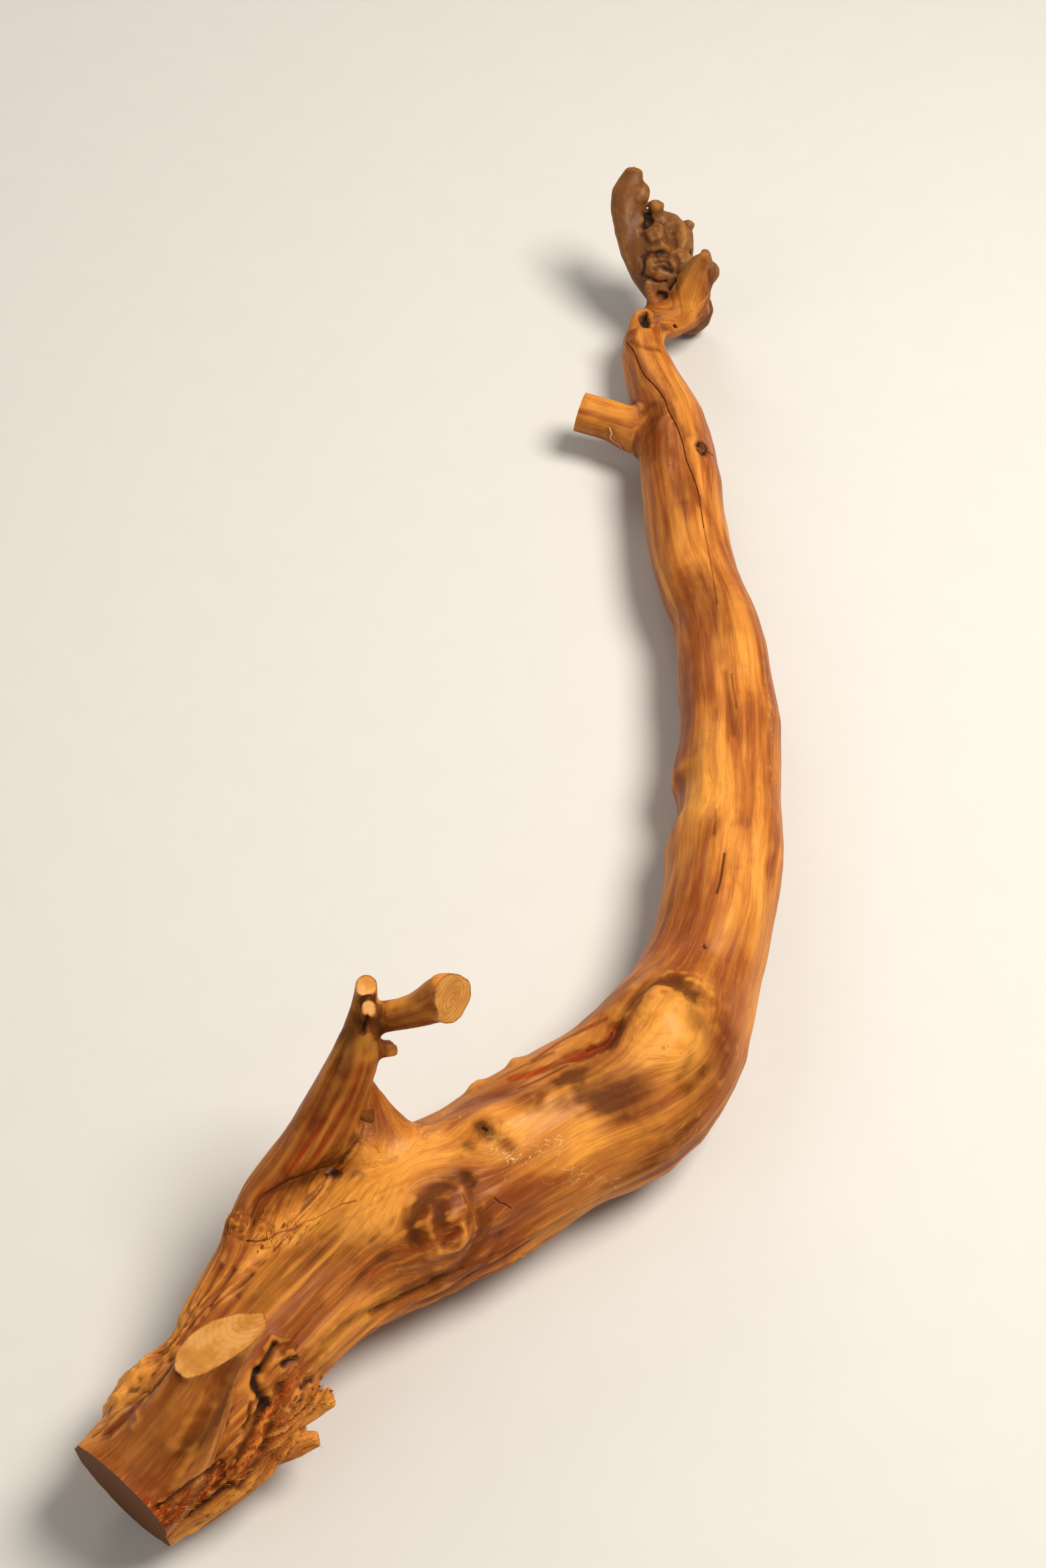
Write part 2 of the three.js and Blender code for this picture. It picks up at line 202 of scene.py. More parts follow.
BEND = [
    # Partly a stain and partly painted shade: the dark arcs round the top of the bend's bump, where it shades
    # the wood behind it.
    stroke([(945, 1500), (972, 1474), (1010, 1464), (1044, 1484)], 5, -2.2, umber=0.9),
    stroke([(1020, 1478), (1040, 1500), (1046, 1530)], 7, -1.6, umber=0.9),
    stroke([(985, 1500), (1000, 1530), (1015, 1570), (1040, 1595)], 13, 1.0, honey=1.0),
    stroke([(955, 1535), (985, 1570)], 10, honey=0.5),
    stroke([(862, 1612), (872, 1632), (892, 1650), (925, 1662)], 6, -0.5, umber=1.1),
    stroke([(900, 1622), (935, 1630), (962, 1648)], 8, umber=0.6),
    stroke([(875, 1585), (915, 1605), (950, 1630)], 12, umber=0.4),
    stroke([(838, 1602), (850, 1625), (846, 1645)], 5, umber=0.4),
    stroke([(921, 1542), (911, 1563), (888, 1576), (858, 1586)], 3.0, -1.4, rust=1.6),
    stroke([(927, 1530), (918, 1556), (900, 1575)], 3.0, umber=0.5),
    stroke([(882, 1572), (845, 1590), (812, 1605), (765, 1618)], 1.4, -0.5, rust=1.5),
    stroke([(914, 1547), (902, 1562), (878, 1573)], 0.7, -1.0, soot=0.5, rust=1.0),
    stroke([(908, 1528), (870, 1546), (838, 1562), (800, 1588)], 1.0, -0.2, rust=1.0),
    stroke([(850, 1598), (815, 1615), (780, 1631)], 0.9, -0.2, rust=0.9),
    stroke([(830, 1578), (780, 1600), (745, 1618)], 0.9, rust=0.7),
    stroke([(830, 1622), (790, 1640)], 2.0, -0.5, umber=0.6),
    stroke([(960, 1505), (935, 1530), (916, 1558)], 4, -0.8, umber=0.5, rust=0.3),
    stroke([(1024, 1622), (1046, 1600)], 5, umber=0.6),
    # Painted shade over a red-brown tone along the trunk's lower right edge, which lies in shade.
    stroke([(1092, 1560), (1080, 1620), (1035, 1680), (975, 1735)], 7, umber=0.45, rust=0.45),
    stroke([(1040, 1560), (1030, 1590), (1015, 1620)], 2.0, umber=0.4),
    stroke([(1058, 1595), (1046, 1622), (1030, 1640)], 2.4, umber=0.45),
    stroke([(1062, 1440), (1075, 1500), (1085, 1560)], 5, umber=0.3),
    stroke([(1046, 1500), (1062, 1540), (1060, 1590)], 6, umber=0.35),
]
TRUNK_TOP = [
    stroke([(470, 1805), (545, 1770), (640, 1735)], 12, honey=0.75),
    stroke([(520, 1850), (590, 1800)], 12, honey=0.6),
    stroke([(400, 1930), (470, 1870), (540, 1820)], 9, honey=0.5),
    stroke([(785, 1700), (830, 1688), (880, 1692)], 9, honey=0.9),
    stroke([(790, 1655), (835, 1650)], 6, rust=0.35, umber=0.2),
    stroke([(700, 1655), (740, 1640), (780, 1640)], 6, umber=0.3, rust=0.3),
    stroke([(555, 1748), (610, 1718), (658, 1700)], 2.6, 0.7, crumb=0.2, chalk=1.0, honey=0.4),
    stroke([(640, 1900), (560, 1905)], 9, rust=0.35),
    stroke([(720, 1900), (800, 1850), (870, 1800)], 7, rust=0.3),
    stroke([(560, 1945), (610, 1900), (650, 1885)], 6, honey=0.6),
    stroke([(480, 2010), (520, 1965), (560, 1935)], 5, honey=0.5),
    stroke([(806, 1660), (812, 1640)], 2, -0.4, umber=0.8),
    stroke([(790, 1668), (798, 1650)], 1.4, umber=0.6),
    stroke([(850, 1610), (838, 1622)], 2, umber=0.6),
    stroke([(560, 1790), (620, 1765), (690, 1735)], 1.0, -0.5, umber=0.35),
    stroke([(480, 1855), (540, 1815), (600, 1785)], 1.0, -0.5, umber=0.3),
]
KNOT_EYE = [
    stroke([(692, 1764), (655, 1780), (630, 1802), (615, 1835), (622, 1860)], 3.4, -1.1, umber=1.2),
    stroke([(655, 1812), (655, 1850), (680, 1850)], 8, -0.6, umber=0.45, rust=0.3),
    stroke([(668, 1797), (650, 1808), (643, 1833), (650, 1862)], 2.2, 0.8, honey=0.15, rust=0.2),
    stroke([(663, 1804), (660, 1828), (668, 1842)], 2.4, -1.0, umber=0.7, rust=0.3),
    stroke([(688, 1845), (677, 1857), (667, 1866)], 1.4, -1.6, rust=1.0, soot=0.3),
    stroke([(694, 1836), (697, 1856), (686, 1872), (660, 1878)], 1.8, 1.0, honey=0.8),
    stroke([(702, 1782), (706, 1808), (704, 1835)], 1.5, -0.8, umber=0.8),
    stroke([(714, 1800), (722, 1835), (712, 1868), (690, 1898), (655, 1918)], 2.4, -0.8, umber=0.6),
    stroke([(734, 1800), (730, 1850), (704, 1890), (655, 1922), (600, 1948)], 1.6, -0.5, umber=0.4),
    stroke([(752, 1850), (728, 1894), (680, 1930), (622, 1954)], 1.6, -0.4, umber=0.3),
    stroke([(700, 1765), (710, 1776)], 2.4, -0.6, umber=1.0, soot=0.25),
    stroke([(742, 1797), (750, 1804), (757, 1806), (766, 1812)], 0.3, -0.7, soot=0.6),
    stroke([(640, 1858), (610, 1880)], 5, rust=0.5),
    stroke([(600, 1800), (590, 1840), (600, 1880)], 4, honey=0.4),
]
SMALL_KNOTS = [
    stroke([(719, 1688), (732, 1697)], 3, -0.4, umber=1.4, rust=0.4),
    stroke([(722, 1690), (728, 1694)], 0.7, -1.0, soot=0.8),
    stroke([(738, 1686), (748, 1695), (750, 1706)], 1.8, 0.6, honey=1.0),
    stroke([(700, 1718), (707, 1722)], 2, -0.6, umber=0.9),
    stroke([(757, 1712), (765, 1720)], 3, umber=0.4, rust=0.5),
    stroke([(628, 1697), (640, 1690)], 1.0, 0.5, chalk=0.8),
    stroke([(650, 1674), (662, 1670)], 1.0, 0.5, chalk=0.8),
]
FLANK = [
    stroke([(556, 1968), (600, 1947), (640, 1928), (692, 1905)], 1.2, -0.9, umber=0.6),
    stroke([(575, 1955), (615, 1936), (650, 1922)], 4, crumb=0.45, umber=0.6),
    stroke([(580, 1985), (640, 1962), (700, 1935)], 3, 1.0, crumb=0.5),
    stroke([(690, 1905), (760, 1872), (830, 1836), (900, 1798)], 1.0, -0.6, umber=0.4),
    stroke([(720, 1925), (790, 1892), (850, 1858)], 1.0, -0.6, umber=0.4),
    stroke([(770, 1890), (800, 1873)], 3, 1.2, crumb=0.6, honey=0.4),
    stroke([(905, 1780), (985, 1740), (1040, 1695)], 5, umber=0.5),
    stroke([(470, 2040), (520, 1985), (570, 1960)], 2.4, -1.2, umber=0.7),
    stroke([(500, 1990), (560, 1940), (620, 1915)], 3, 0.8),
    stroke([(520, 2030), (560, 1995), (610, 1980)], 2.0, -1.0, umber=0.5),
    stroke([(430, 2020), (480, 1960)], 3, -0.6, rust=0.3),
]
SCRATCHES = [
    stroke([(735, 1722), (780, 1728), (835, 1712)], 5, chalk=0.9),
    stroke([(765, 1742), (830, 1752), (870, 1765)], 5, chalk=0.9),
    stroke([(895, 1775), (925, 1780), (935, 1762)], 4, chalk=1.0),
    stroke([(1025, 1700), (1036, 1692)], 4, chalk=1.1),
    stroke([(628, 1697), (640, 1690)], 2.5, chalk=0.9),
    stroke([(662, 1672), (690, 1675)], 2.5, chalk=0.9),
    stroke([(928, 1395), (935, 1402)], 2.5, chalk=0.6),
    stroke([(1150, 1000), (1156, 1060), (1160, 1120)], 3, chalk=0.7),
    stroke([(1153, 1150), (1156, 1200)], 2.5, chalk=0.6),
    stroke([(1105, 1590), (1108, 1560)], 2, chalk=1.0),
    stroke([(970, 1860), (1000, 1900)], 3, chalk=0.4),
    stroke([(565, 1915), (600, 1900)], 3, chalk=0.35),
]
RIDGE = [
    stroke([(172, 2062), (182, 2032), (200, 2005), (222, 1985)], 12, -7),
    stroke([(370, 1861), (395, 1860), (420, 1849), (436, 1846), (453, 1836), (478, 1824), (505, 1809),
            (532, 1800)], 0.34, -1.0, soot=0.55),
    stroke([(360, 1852), (400, 1848), (452, 1838)], 6, 0.5, crumb=0.8, honey=0.6),
    stroke([(398, 1868), (440, 1862)], 4, 0.4, crumb=0.8, chalk=0.4, honey=0.4),
    stroke([(455, 1852), (480, 1838)], 3, crumb=0.4, honey=0.4),
    # Painted shade: the broad dark marks in the crotch between the side branch and the trunk.
    stroke([(530, 1712), (505, 1740), (470, 1762), (440, 1772)], 4, -0.6, umber=0.9),
    stroke([(512, 1712), (499, 1741), (470, 1768), (430, 1785)], 8, umber=0.6),
    stroke([(500, 1748), (440, 1768), (410, 1784), (389, 1797), (376, 1824)], 0.7, -1.0, umber=0.9),
    stroke([(366, 1845), (384, 1832)], 4, crumb=0.9, umber=0.5),
    stroke([(344, 1838), (350, 1832)], 3, 2.0, crumb=0.8, umber=0.6),
    stroke([(350, 1810), (395, 1770), (430, 1745)], 8, rust=0.35),
    stroke([(330, 1900), (290, 1960), (240, 2020)], 1.6, -1.6, umber=0.5),
    stroke([(350, 1905), (300, 1975), (250, 2035)], 1.4, -1.6, umber=0.4),
    stroke([(375, 1910), (330, 1975), (290, 2010)], 1.6, -1.4, umber=0.35),
    stroke([(318, 1880), (270, 1950), (225, 2005)], 3, 1.2, honey=0.4),
    stroke([(365, 1900), (310, 1975), (268, 2025)], 3, 1.0, honey=0.6),
    stroke([(400, 1890), (350, 1960)], 5, honey=0.5),
    stroke([(172, 2087), (180, 2070), (192, 2060)], 3.4, 1.2, crumb=0.42, honey=0.3),
    stroke([(212, 2036), (218, 2028)], 2.4, 1.2, crumb=0.42, honey=0.3),
    stroke([(190, 2075), (215, 2050), (240, 2020)], 8, honey=0.5),
    stroke([(230, 2030), (262, 2000)], 3, crumb=0.4, rust=0.5),
    stroke([(505, 1862), (440, 1905), (388, 1945)], 8, umber=0.75),
    stroke([(545, 1858), (500, 1890)], 6, umber=0.3),
    stroke([(440, 1995), (480, 1960), (550, 1902)], 9, rust=0.4),
]
RAMP = [
    stroke([(300, 2060), (275, 2120), (240, 2190), (215, 2230)], 24, calm=1.1, umber=0.15, rust=0.3),
    stroke([(346, 2052), (326, 2120), (296, 2180)], 12, calm=0.8),
    stroke([(348, 2050), (334, 2108), (302, 2160)], 6, -0.6, umber=0.9),
    stroke([(322, 2130), (292, 2165), (270, 2185)], 5, umber=0.6),
    stroke([(267, 2060), (250, 2110), (228, 2150)], 4, umber=0.45),
    stroke([(372, 2060), (350, 2125), (320, 2190)], 4, honey=0.25),
    stroke([(285, 2090), (262, 2140)], 5, honey=0.2),
    stroke([(222, 2084), (190, 2122), (165, 2146)], 3, -1.0, rust=0.8, umber=0.4),
    stroke([(255, 2045), (235, 2072), (192, 2104), (140, 2150)], 2.0, -1.8, umber=0.7),
    stroke([(150, 2190), (190, 2235), (235, 2280)], 5, 0.4, rust=0.4, crumb=0.3),
    stroke([(310, 2030), (360, 2030)], 3, honey=0.25),
    stroke([(204, 2110), (208, 2130), (200, 2140)], 1.6, 1.0, honey=0.5),
    stroke([(173, 2088), (176, 2092)], 3, 1.0, crumb=0.4, honey=0.9),
    stroke([(256, 2045), (300, 2035), (350, 2000), (392, 1962), (402, 1960)], 10, calm=1.2),
]
# The near black in these clefts beside the oval is painted shade.
CREVICE = [
    stroke([(411, 2018), (400, 2038), (388, 2056)], 1.3, -2.6, soot=0.9),
    stroke([(386, 2058), (382, 2074), (390, 2092), (397, 2104)], 2.0, -3.4, soot=1.0),
    stroke([(426, 2046), (441, 2037)], 1.3, -2.6, soot=0.9),
    stroke([(404, 2046), (420, 2036), (436, 2028)], 2.0, 2.4, umber=0.5),
    stroke([(398, 2022), (408, 2006)], 1.6, 1.4, umber=0.4),
    stroke([(420, 2010), (436, 2012), (430, 2024)], 1.6, 1.2, umber=0.8),
    stroke([(376, 2106), (372, 2130), (366, 2140)], 1.0, -1.2, soot=0.5, umber=0.5),
    stroke([(390, 2112), (372, 2150), (352, 2190), (322, 2230)], 1.4, -2.0, soot=0.4, umber=0.5),
    stroke([(440, 2110), (452, 2100)], 2.0, -2.6, soot=0.5),
    stroke([(452, 2080), (460, 2072), (470, 2068)], 1.8, -2.2, soot=0.8),
]
BURL_MARKS = [
    stroke([(442, 2065), (425, 2104), (400, 2181)], 9, crumb=0.9, rust=0.8),
    stroke([(420, 2080), (412, 2120), (392, 2170)], 2.0, -2.0, umber=0.6),
    stroke([(440, 2075), (436, 2120), (415, 2165)], 2.4, 1.8, honey=0.3),
    stroke([(400, 2120), (385, 2165), (355, 2215)], 2.2, 1.8, rust=0.4),
    stroke([(408, 2140), (392, 2185), (360, 2230)], 1.8, -1.8, soot=0.4, umber=0.4),
    stroke([(466, 2104), (485, 2094), (500, 2084)], 5, crumb=0.9, honey=0.5, rust=0.3),
    stroke([(430, 2172), (458, 2165)], 5, crumb=0.9, honey=0.5, rust=0.3),
    stroke([(448, 2150), (430, 2158)], 4, honey=0.5),
    stroke([(230, 2290), (270, 2262), (340, 2208)], 8, crumb=0.9, rust=0.9, umber=0.4),
    stroke([(262, 2290), (300, 2262), (345, 2230)], 1.8, -2.4, soot=0.6),
    stroke([(240, 2262), (290, 2225), (330, 2195)], 1.8, -2.2, soot=0.5),
    stroke([(310, 2272), (350, 2245), (405, 2208)], 3.4, 1.4, honey=0.6, crumb=0.4),
    stroke([(230, 2255), (245, 2280)], 4, honey=0.3, crumb=0.4),
]
BRANCH_MARKS = [
    stroke([(550, 1488), (540, 1515), (528, 1550)], 9, umber=1.2),
    stroke([(556, 1478), (560, 1495)], 4, umber=0.9),
    stroke([(551, 1460), (553, 1466)], 4, crumb=0.7),
    stroke([(528, 1550), (500, 1610), (468, 1680)], 6, umber=0.8, rust=0.5),
    stroke([(562, 1545), (545, 1600), (520, 1660)], 6, umber=0.55, rust=0.5),
    stroke([(512, 1600), (508, 1635)], 3, umber=0.7),
    stroke([(580, 1590), (560, 1640), (530, 1690)], 4, honey=0.4),
    stroke([(540, 1600), (505, 1675), (465, 1735)], 7, rust=0.6),
    stroke([(470, 1700), (430, 1760), (400, 1800)], 7, umber=0.25, rust=0.5),
    stroke([(566, 1500), (595, 1502), (622, 1506)], 3, honey=0.9),
    stroke([(590, 1545), (650, 1532)], 4, umber=0.5, rust=0.4),
    stroke([(545, 1545), (552, 1520)], 1.0, -1.2, soot=0.8),
    stroke([(592, 1562), (596, 1572)], 1.4, -1.4, soot=0.6),
    stroke([(585, 1555), (598, 1560), (596, 1575), (584, 1580)], 1.8, 1.0, honey=0.8),
    stroke([(555, 1690), (600, 1680)], 7, umber=0.25, rust=0.4),
    stroke([(562, 1622), (580, 1640), (600, 1660)], 5, rust=0.5),
    stroke([(698, 1461), (694, 1466)], 3.2, 2.6),
    stroke([(652, 1472), (654, 1478)], 3.2, 2.2),
    stroke([(653, 1541), (658, 1538)], 3.2, 2.2),
]
UPPER_STEM_MARKS = [
    stroke([(939, 513), (950, 528), (957, 546), (966, 563), (980, 577), (995, 597), (1002, 616), (1013, 636),
            (1022, 660), (1029, 690), (1038, 712), (1046, 735), (1050, 757), (1055, 790)],
           0.27, -1.0, soot=0.75, rust=0.5),
    stroke([(1055, 790), (1062, 825), (1068, 860), (1074, 905)], 0.3, -0.6, umber=0.9),
    stroke([(941, 516), (962, 550), (998, 597), (1026, 660), (1048, 757)], 1.8, umber=0.25, rust=0.4),
    stroke([(1046, 668), (1050, 662), (1058, 667), (1060, 677), (1053, 681), (1047, 675)],
           0.9, -0.9, soot=1.0),
    stroke([(1051, 668), (1056, 675)], 2.4, -0.8, umber=1.0),
    stroke([(1052, 672), (1060, 679)], 0.4, 0.4, honey=1.0),
    stroke([(1060, 676), (1068, 683)], 0.5, -0.8, soot=0.7),
    stroke([(1066, 690), (1068, 710), (1067, 735)], 0.3, -0.6, umber=0.9),
    stroke([(972, 612), (982, 640), (985, 670)], 8, umber=0.4, rust=0.45),
    stroke([(966, 618), (975, 608), (988, 606), (992, 620), (980, 630)], 1.8, umber=0.8, rust=0.4),
    stroke([(985, 632), (978, 645)], 1.8, umber=0.6),
    stroke([(1020, 728), (1032, 742)], 6, umber=0.4, rust=0.3),
    stroke([(946, 512), (962, 520), (985, 524)], 1.6, -0.5, umber=0.9),
    stroke([(962, 560), (958, 580)], 6, umber=0.35),
    stroke([(990, 645), (1000, 700)], 7, rust=0.4),
    stroke([(914, 642), (917, 650), (915, 656), (921, 663), (929, 667), (934, 676), (946, 682), (957, 690)],
           0.6, 0.5, chalk=2.4),
    stroke([(916, 645), (921, 662), (933, 674), (950, 690)], 2.2, umber=0.5, chalk=0.5),
    stroke([(888, 595), (902, 604), (918, 612)], 0.4, 0.2, chalk=1.9),
    stroke([(873, 584), (872, 596), (876, 606)], 1.6, umber=0.5, rust=0.4),
    stroke([(870, 620), (880, 640), (900, 650)], 5, rust=0.5),
    stroke([(1008, 576), (1018, 580)], 0.4, chalk=1.6),
    stroke([(1004, 692), (1008, 700)], 3.0, chalk=0.7),
    stroke([(1054, 868), (1066, 900), (1082, 940)], 7, umber=0.8),
    stroke([(1035, 790), (1048, 830)], 8, honey=0.7),
    stroke([(1010, 760), (1002, 800)], 7, umber=0.4),
]
MID_STEM_MARKS = [
    # Painted highlight: pale marks along the stem's lit right side.
    stroke([(1108, 960), (1120, 1020)], 7, honey=0.6),
    stroke([(1085, 1010), (1100, 1100)], 1.4, -0.7, umber=0.5),
    # Painted shade at the stem's left edge.
    stroke([(1038, 1130), (1030, 1150)], 7, umber=0.5),
    stroke([(1048, 1190), (1062, 1200)], 9, honey=0.8),
    stroke([(1060, 1236), (1040, 1290)], 6, rust=0.4),
    # Painted highlight along the stem's lit right side.
    stroke([(1110, 1262), (1128, 1340), (1120, 1400)], 10, honey=0.7),
    stroke([(1086, 1280), (1080, 1318), (1074, 1338)], 0.5, -1.2, soot=0.8),
    stroke([(1040, 1330), (1025, 1400)], 6, rust=0.35, umber=0.2),
    stroke([(1072, 1215), (1070, 1250)], 0.7, -0.6, umber=0.8),
    stroke([(1096, 1010), (1104, 1060)], 0.6, -0.6, umber=0.7),
    stroke([(1055, 1418), (1057, 1421)], 0.6, -1.2, soot=0.8),
]
CROWN_MARKS = [
    stroke([(970, 322), (969, 340)], 2.0, -3.0, soot=1.1),
    stroke([(953, 290), (956, 296)], 3.2, 1.6, honey=0.7),
    stroke([(951, 250), (965, 262), (978, 284)], 3.0, 0.6, umber=1.0),
    stroke([(979, 304), (984, 312)], 2.6, 1.2, honey=0.4),
    stroke([(990, 340), (990, 360), (1000, 378)], 1.6, 1.0, honey=0.3),
    stroke([(1022, 336), (1026, 356), (1021, 376)], 2.2, 1.4, honey=0.3),
    stroke([(1005, 335), (1008, 352)], 2.6, 1.0, honey=0.2),
    stroke([(1010, 352), (1013, 370)], 1.6, -1.4, umber=0.7),
    stroke([(998, 348), (1000, 362)], 1.2, -1.0, umber=0.6),
    stroke([(984, 380), (992, 379)], 1.6, -2.2, soot=0.9),
    stroke([(996, 401), (1006, 406)], 1.5, -2.2, soot=1.0),
    stroke([(988, 440), (996, 443)], 1.6, -2.0, soot=0.7),
    stroke([(1011, 420), (1003, 432)], 1.4, -2.2, soot=0.9),
    stroke([(963, 386), (966, 400), (962, 412)], 1.2, -1.8, soot=0.6),
    stroke([(974, 394), (978, 404)], 3.2, 1.6),
    stroke([(1000, 374), (1007, 381)], 3.0, 1.6, honey=0.3),
    stroke([(1003, 392), (1010, 396)], 2.4, 1.2),
    stroke([(990, 413), (998, 417)], 3.0, 1.4, honey=0.3),
    stroke([(979, 427), (984, 434)], 2.6, 1.4),
    stroke([(966, 384), (976, 379), (983, 384), (990, 392)], 0.9, -1.2, umber=0.7),
    stroke([(984, 394), (994, 391), (1003, 398)], 0.8, -1.2, umber=0.7),
    stroke([(968, 414), (978, 419), (990, 423), (998, 420)], 0.9, -1.4, umber=0.7),
    stroke([(982, 404), (988, 400)], 1.0, -1.4, soot=0.5),
    stroke([(1012, 384), (1018, 396), (1016, 408)], 1.2, -1.4, umber=0.8),
    stroke([(962, 350), (975, 366), (990, 360)], 1.8, -1.2, umber=0.7),
    stroke([(952, 320), (946, 360), (950, 400)], 3.0, -0.8, umber=0.35),
    stroke([(940, 300), (934, 350), (944, 400)], 3.0, 0.6, honey=0.3),
    stroke([(1003, 332), (1010, 345)], 3.0, -0.8, umber=0.5),
    stroke([(1037, 378), (1043, 372)], 1.6, -2.4, soot=0.8),
    stroke([(1063, 408), (1068, 440)], 1.4, -1.0, umber=0.6),
    stroke([(1020, 408), (1012, 440)], 2.4, umber=0.8),
    stroke([(1040, 400), (1030, 450), (1000, 470)], 6, honey=0.6),
    stroke([(1011, 489), (1013, 492)], 0.8, -2.4, soot=1.0),
    stroke([(978, 475), (1005, 462)], 3, umber=0.5),
    stroke([(963, 478), (969, 484)], 2.6, -4.0, soot=1.2),
    stroke([(1063, 470), (1060, 490)], 5, crumb=0.5, umber=0.9),
    stroke([(975, 430), (980, 445)], 2.2, honey=0.5),
]
STROKES = (
    BEND + TRUNK_TOP + KNOT_EYE + SMALL_KNOTS + FLANK + SCRATCHES + RIDGE + RAMP + CREVICE
    + BURL_MARKS + BRANCH_MARKS + UPPER_STEM_MARKS + MID_STEM_MARKS + CROWN_MARKS
)
# Tones of the marks: the near black one is painted shade at the bottom of cracks and pits, and some umber and
# honey marks are painted shade and painted highlight.
TONES = ("umber", "rust", "honey", "soot", "chalk", "crumb", "calm")
FIELDS = TONES + ("curl", "worn")
# What the finish reads from the skin beside the fibres' coordinates and their way
NUMBERS = ("rings", "bite", "hollow") + FIELDS + ("sawn_rings", "sawn_shade", "sawn_pale", "sawn_rim")

# Inner corners where wood has grown over, in the picture, and the half width that is rounded out in mm
FILLETS = [
    ([(545, 1700), (575, 1672), (600, 1650)], 9),
    ([(520, 1718), (470, 1762), (400, 1800)], 8),
    ([(600, 1690), (560, 1700)], 8),
    ([(560, 1660), (575, 1640)], 7),
    ([(968, 602), (965, 640), (958, 686)], 6),
]

# The solids, each with the name of its material slot, by which their pieces are dressed together
PIECES = {
    "butt": "stem_wood", "trunk": "stem_wood", "upper_stem": "stem_wood", "side_stub": "stem_wood",
    "cut_stem": "branch_wood", "side_branch": "branch_wood", "branch_arm": "branch_wood",
    "crown_wing": "crown_wood", "crown_blade": "crown_wood",
}


def origin():
    """How far the limbs' own frame is shifted: the butt's mount lies on its saw plane."""
    mounts = {mount["name"]: mount for mount in frame["record"]["mounts"]}
    return np.array(mounts["butt_face"]["pos_m"]) - np.array(SAWS["butt"][0]) * MM


def placed(point):
    """A point of the limbs' frame, in mm, as metres in the part's frame."""
    return np.array(point, float) * MM + origin()


def unit(vector):
    vector = np.array(vector, float)
    return vector / np.linalg.norm(vector)


class RootSizes(PropertyGroup):
    """Sizes that shape the skin and what stands on it."""

    spacing: FloatProperty(
        name="Skin spacing", description="Distance between the points of the skin",
        default=1.8 * MM, min=1.0 * MM, max=6.0 * MM, unit="LENGTH")
    flute: FloatProperty(
        name="Flute height", description="Height of the long shallow flutes on polished wood",
        default=0.35 * MM, min=0.0, max=3.0 * MM, unit="LENGTH")
    weather: FloatProperty(
        name="Weathered height", description="Height of the flutes where the butt is weathered",
        default=1.1 * MM, min=0.0, max=5.0 * MM, unit="LENGTH")
    curl: FloatProperty(
        name="Curl height", description="Height of the crown's folds",
        default=0.6 * MM, min=0.0, max=5.0 * MM, unit="LENGTH")
    crumb: FloatProperty(
        name="Crumbled height", description="Height of the crumbling layers",
        default=1.7 * MM, min=0.0, max=8.0 * MM, unit="LENGTH")
    ring: FloatProperty(
        name="Ring spacing", description="Distance between growth rings",
        default=2.3 * MM, min=0.5 * MM, max=8.0 * MM, unit="LENGTH")
    fibre: FloatProperty(
        name="Fibre length", description="Length of the frayed fibres",
        default=4.0 * MM, min=1.0 * MM, max=20.0 * MM, unit="LENGTH")
    flake: FloatProperty(
        name="Flake length", description="Length of the flakes of old bark",
        default=3.6 * MM, min=1.0 * MM, max=20.0 * MM, unit="LENGTH")
    seed: IntProperty(
        name="Seed", description="Seed of everything that is scattered", default=7, min=0)


def colour(name, description, default):
    return FloatVectorProperty(
        name=name, description=description, subtype="COLOR", size=3, min=0, max=1, default=default)


class RootColours(PropertyGroup):
    """Colours of the wood and of the stage."""

    amber: colour("Amber", "The polished wood's main colour", (0.44, 0.122, 0.013))
    russet: colour("Russet", "The main colour's deep side", (0.21, 0.045, 0.006))
    # Honey is also the colour of painted highlight on the stem's lit right side.
    honey: colour("Honey", "Pale wood that was rubbed most", (0.76, 0.315, 0.046))
    # Umber is also the colour of painted shade in clefts, in the crotch of the side branch, round the bend's
    # bump and on the stem's shaded edges.
    umber: colour("Umber", "Soft dark patches", (0.075, 0.021, 0.006))
    rust: colour("Rust", "Red streaks of heartwood", (0.36, 0.030, 0.004))
    bark: colour("Bark", "The gnarled crown's brown", (0.120, 0.050, 0.015))
    # Painted shade: near black at the bottom of cracks, clefts and pits.
    soot: colour("Crack shade", "The bottom of cracks and clefts", (0.014, 0.006, 0.003))
    chalk: colour("Chalk", "Dry frayed fibres", (0.72, 0.46, 0.20))
    sawn: colour("Sawn", "Sawn end grain", (0.56, 0.245, 0.050))
    floor: colour("Floor", "The studio floor", (0.62, 0.61, 0.59))


class RootSettings(PropertyGroup):
    """Everything about the root that a user would change."""

    sizes: PointerProperty(type=RootSizes)
    colours: PointerProperty(type=RootColours)


def sizes():
    return bpy.context.scene.root_settings.sizes


def colours():
    return bpy.context.scene.root_settings.colours


def noise(points, seed=0):
    """Gradient noise from about -1 to 1 at each point, for points in cells of size one."""
    cell = np.floor(points).astype(np.int64)
    part = points - cell
    fade = part ** 3 * (part * (part * 6 - 15) + 10)
    total = np.zeros(len(points))
    for corner in np.ndindex(2, 2, 2):
        key = (cell + corner) * np.array([73856093, 19349663, 83492791])
        mixed = (key[:, 0] ^ key[:, 1] ^ key[:, 2] ^ (seed * 2654435)) & 0x7FFFFFFF
        mixed = ((mixed ^ (mixed >> 13)) * 1274126177) & 0x7FFFFFFF
        mixed ^= mixed >> 15
        angle = (mixed & 1023) * (math.tau / 1024)
        rise = ((mixed >> 10) & 1023) / 511.5 - 1
        flat = np.sqrt(1 - rise * rise)
        gradient = np.stack([np.cos(angle) * flat, np.sin(angle) * flat, rise], 1)
        share = np.prod(np.where(corner, fade, 1 - fade), axis=1)
        total += share * ((part - corner) * gradient).sum(1)
    return total * 1.6


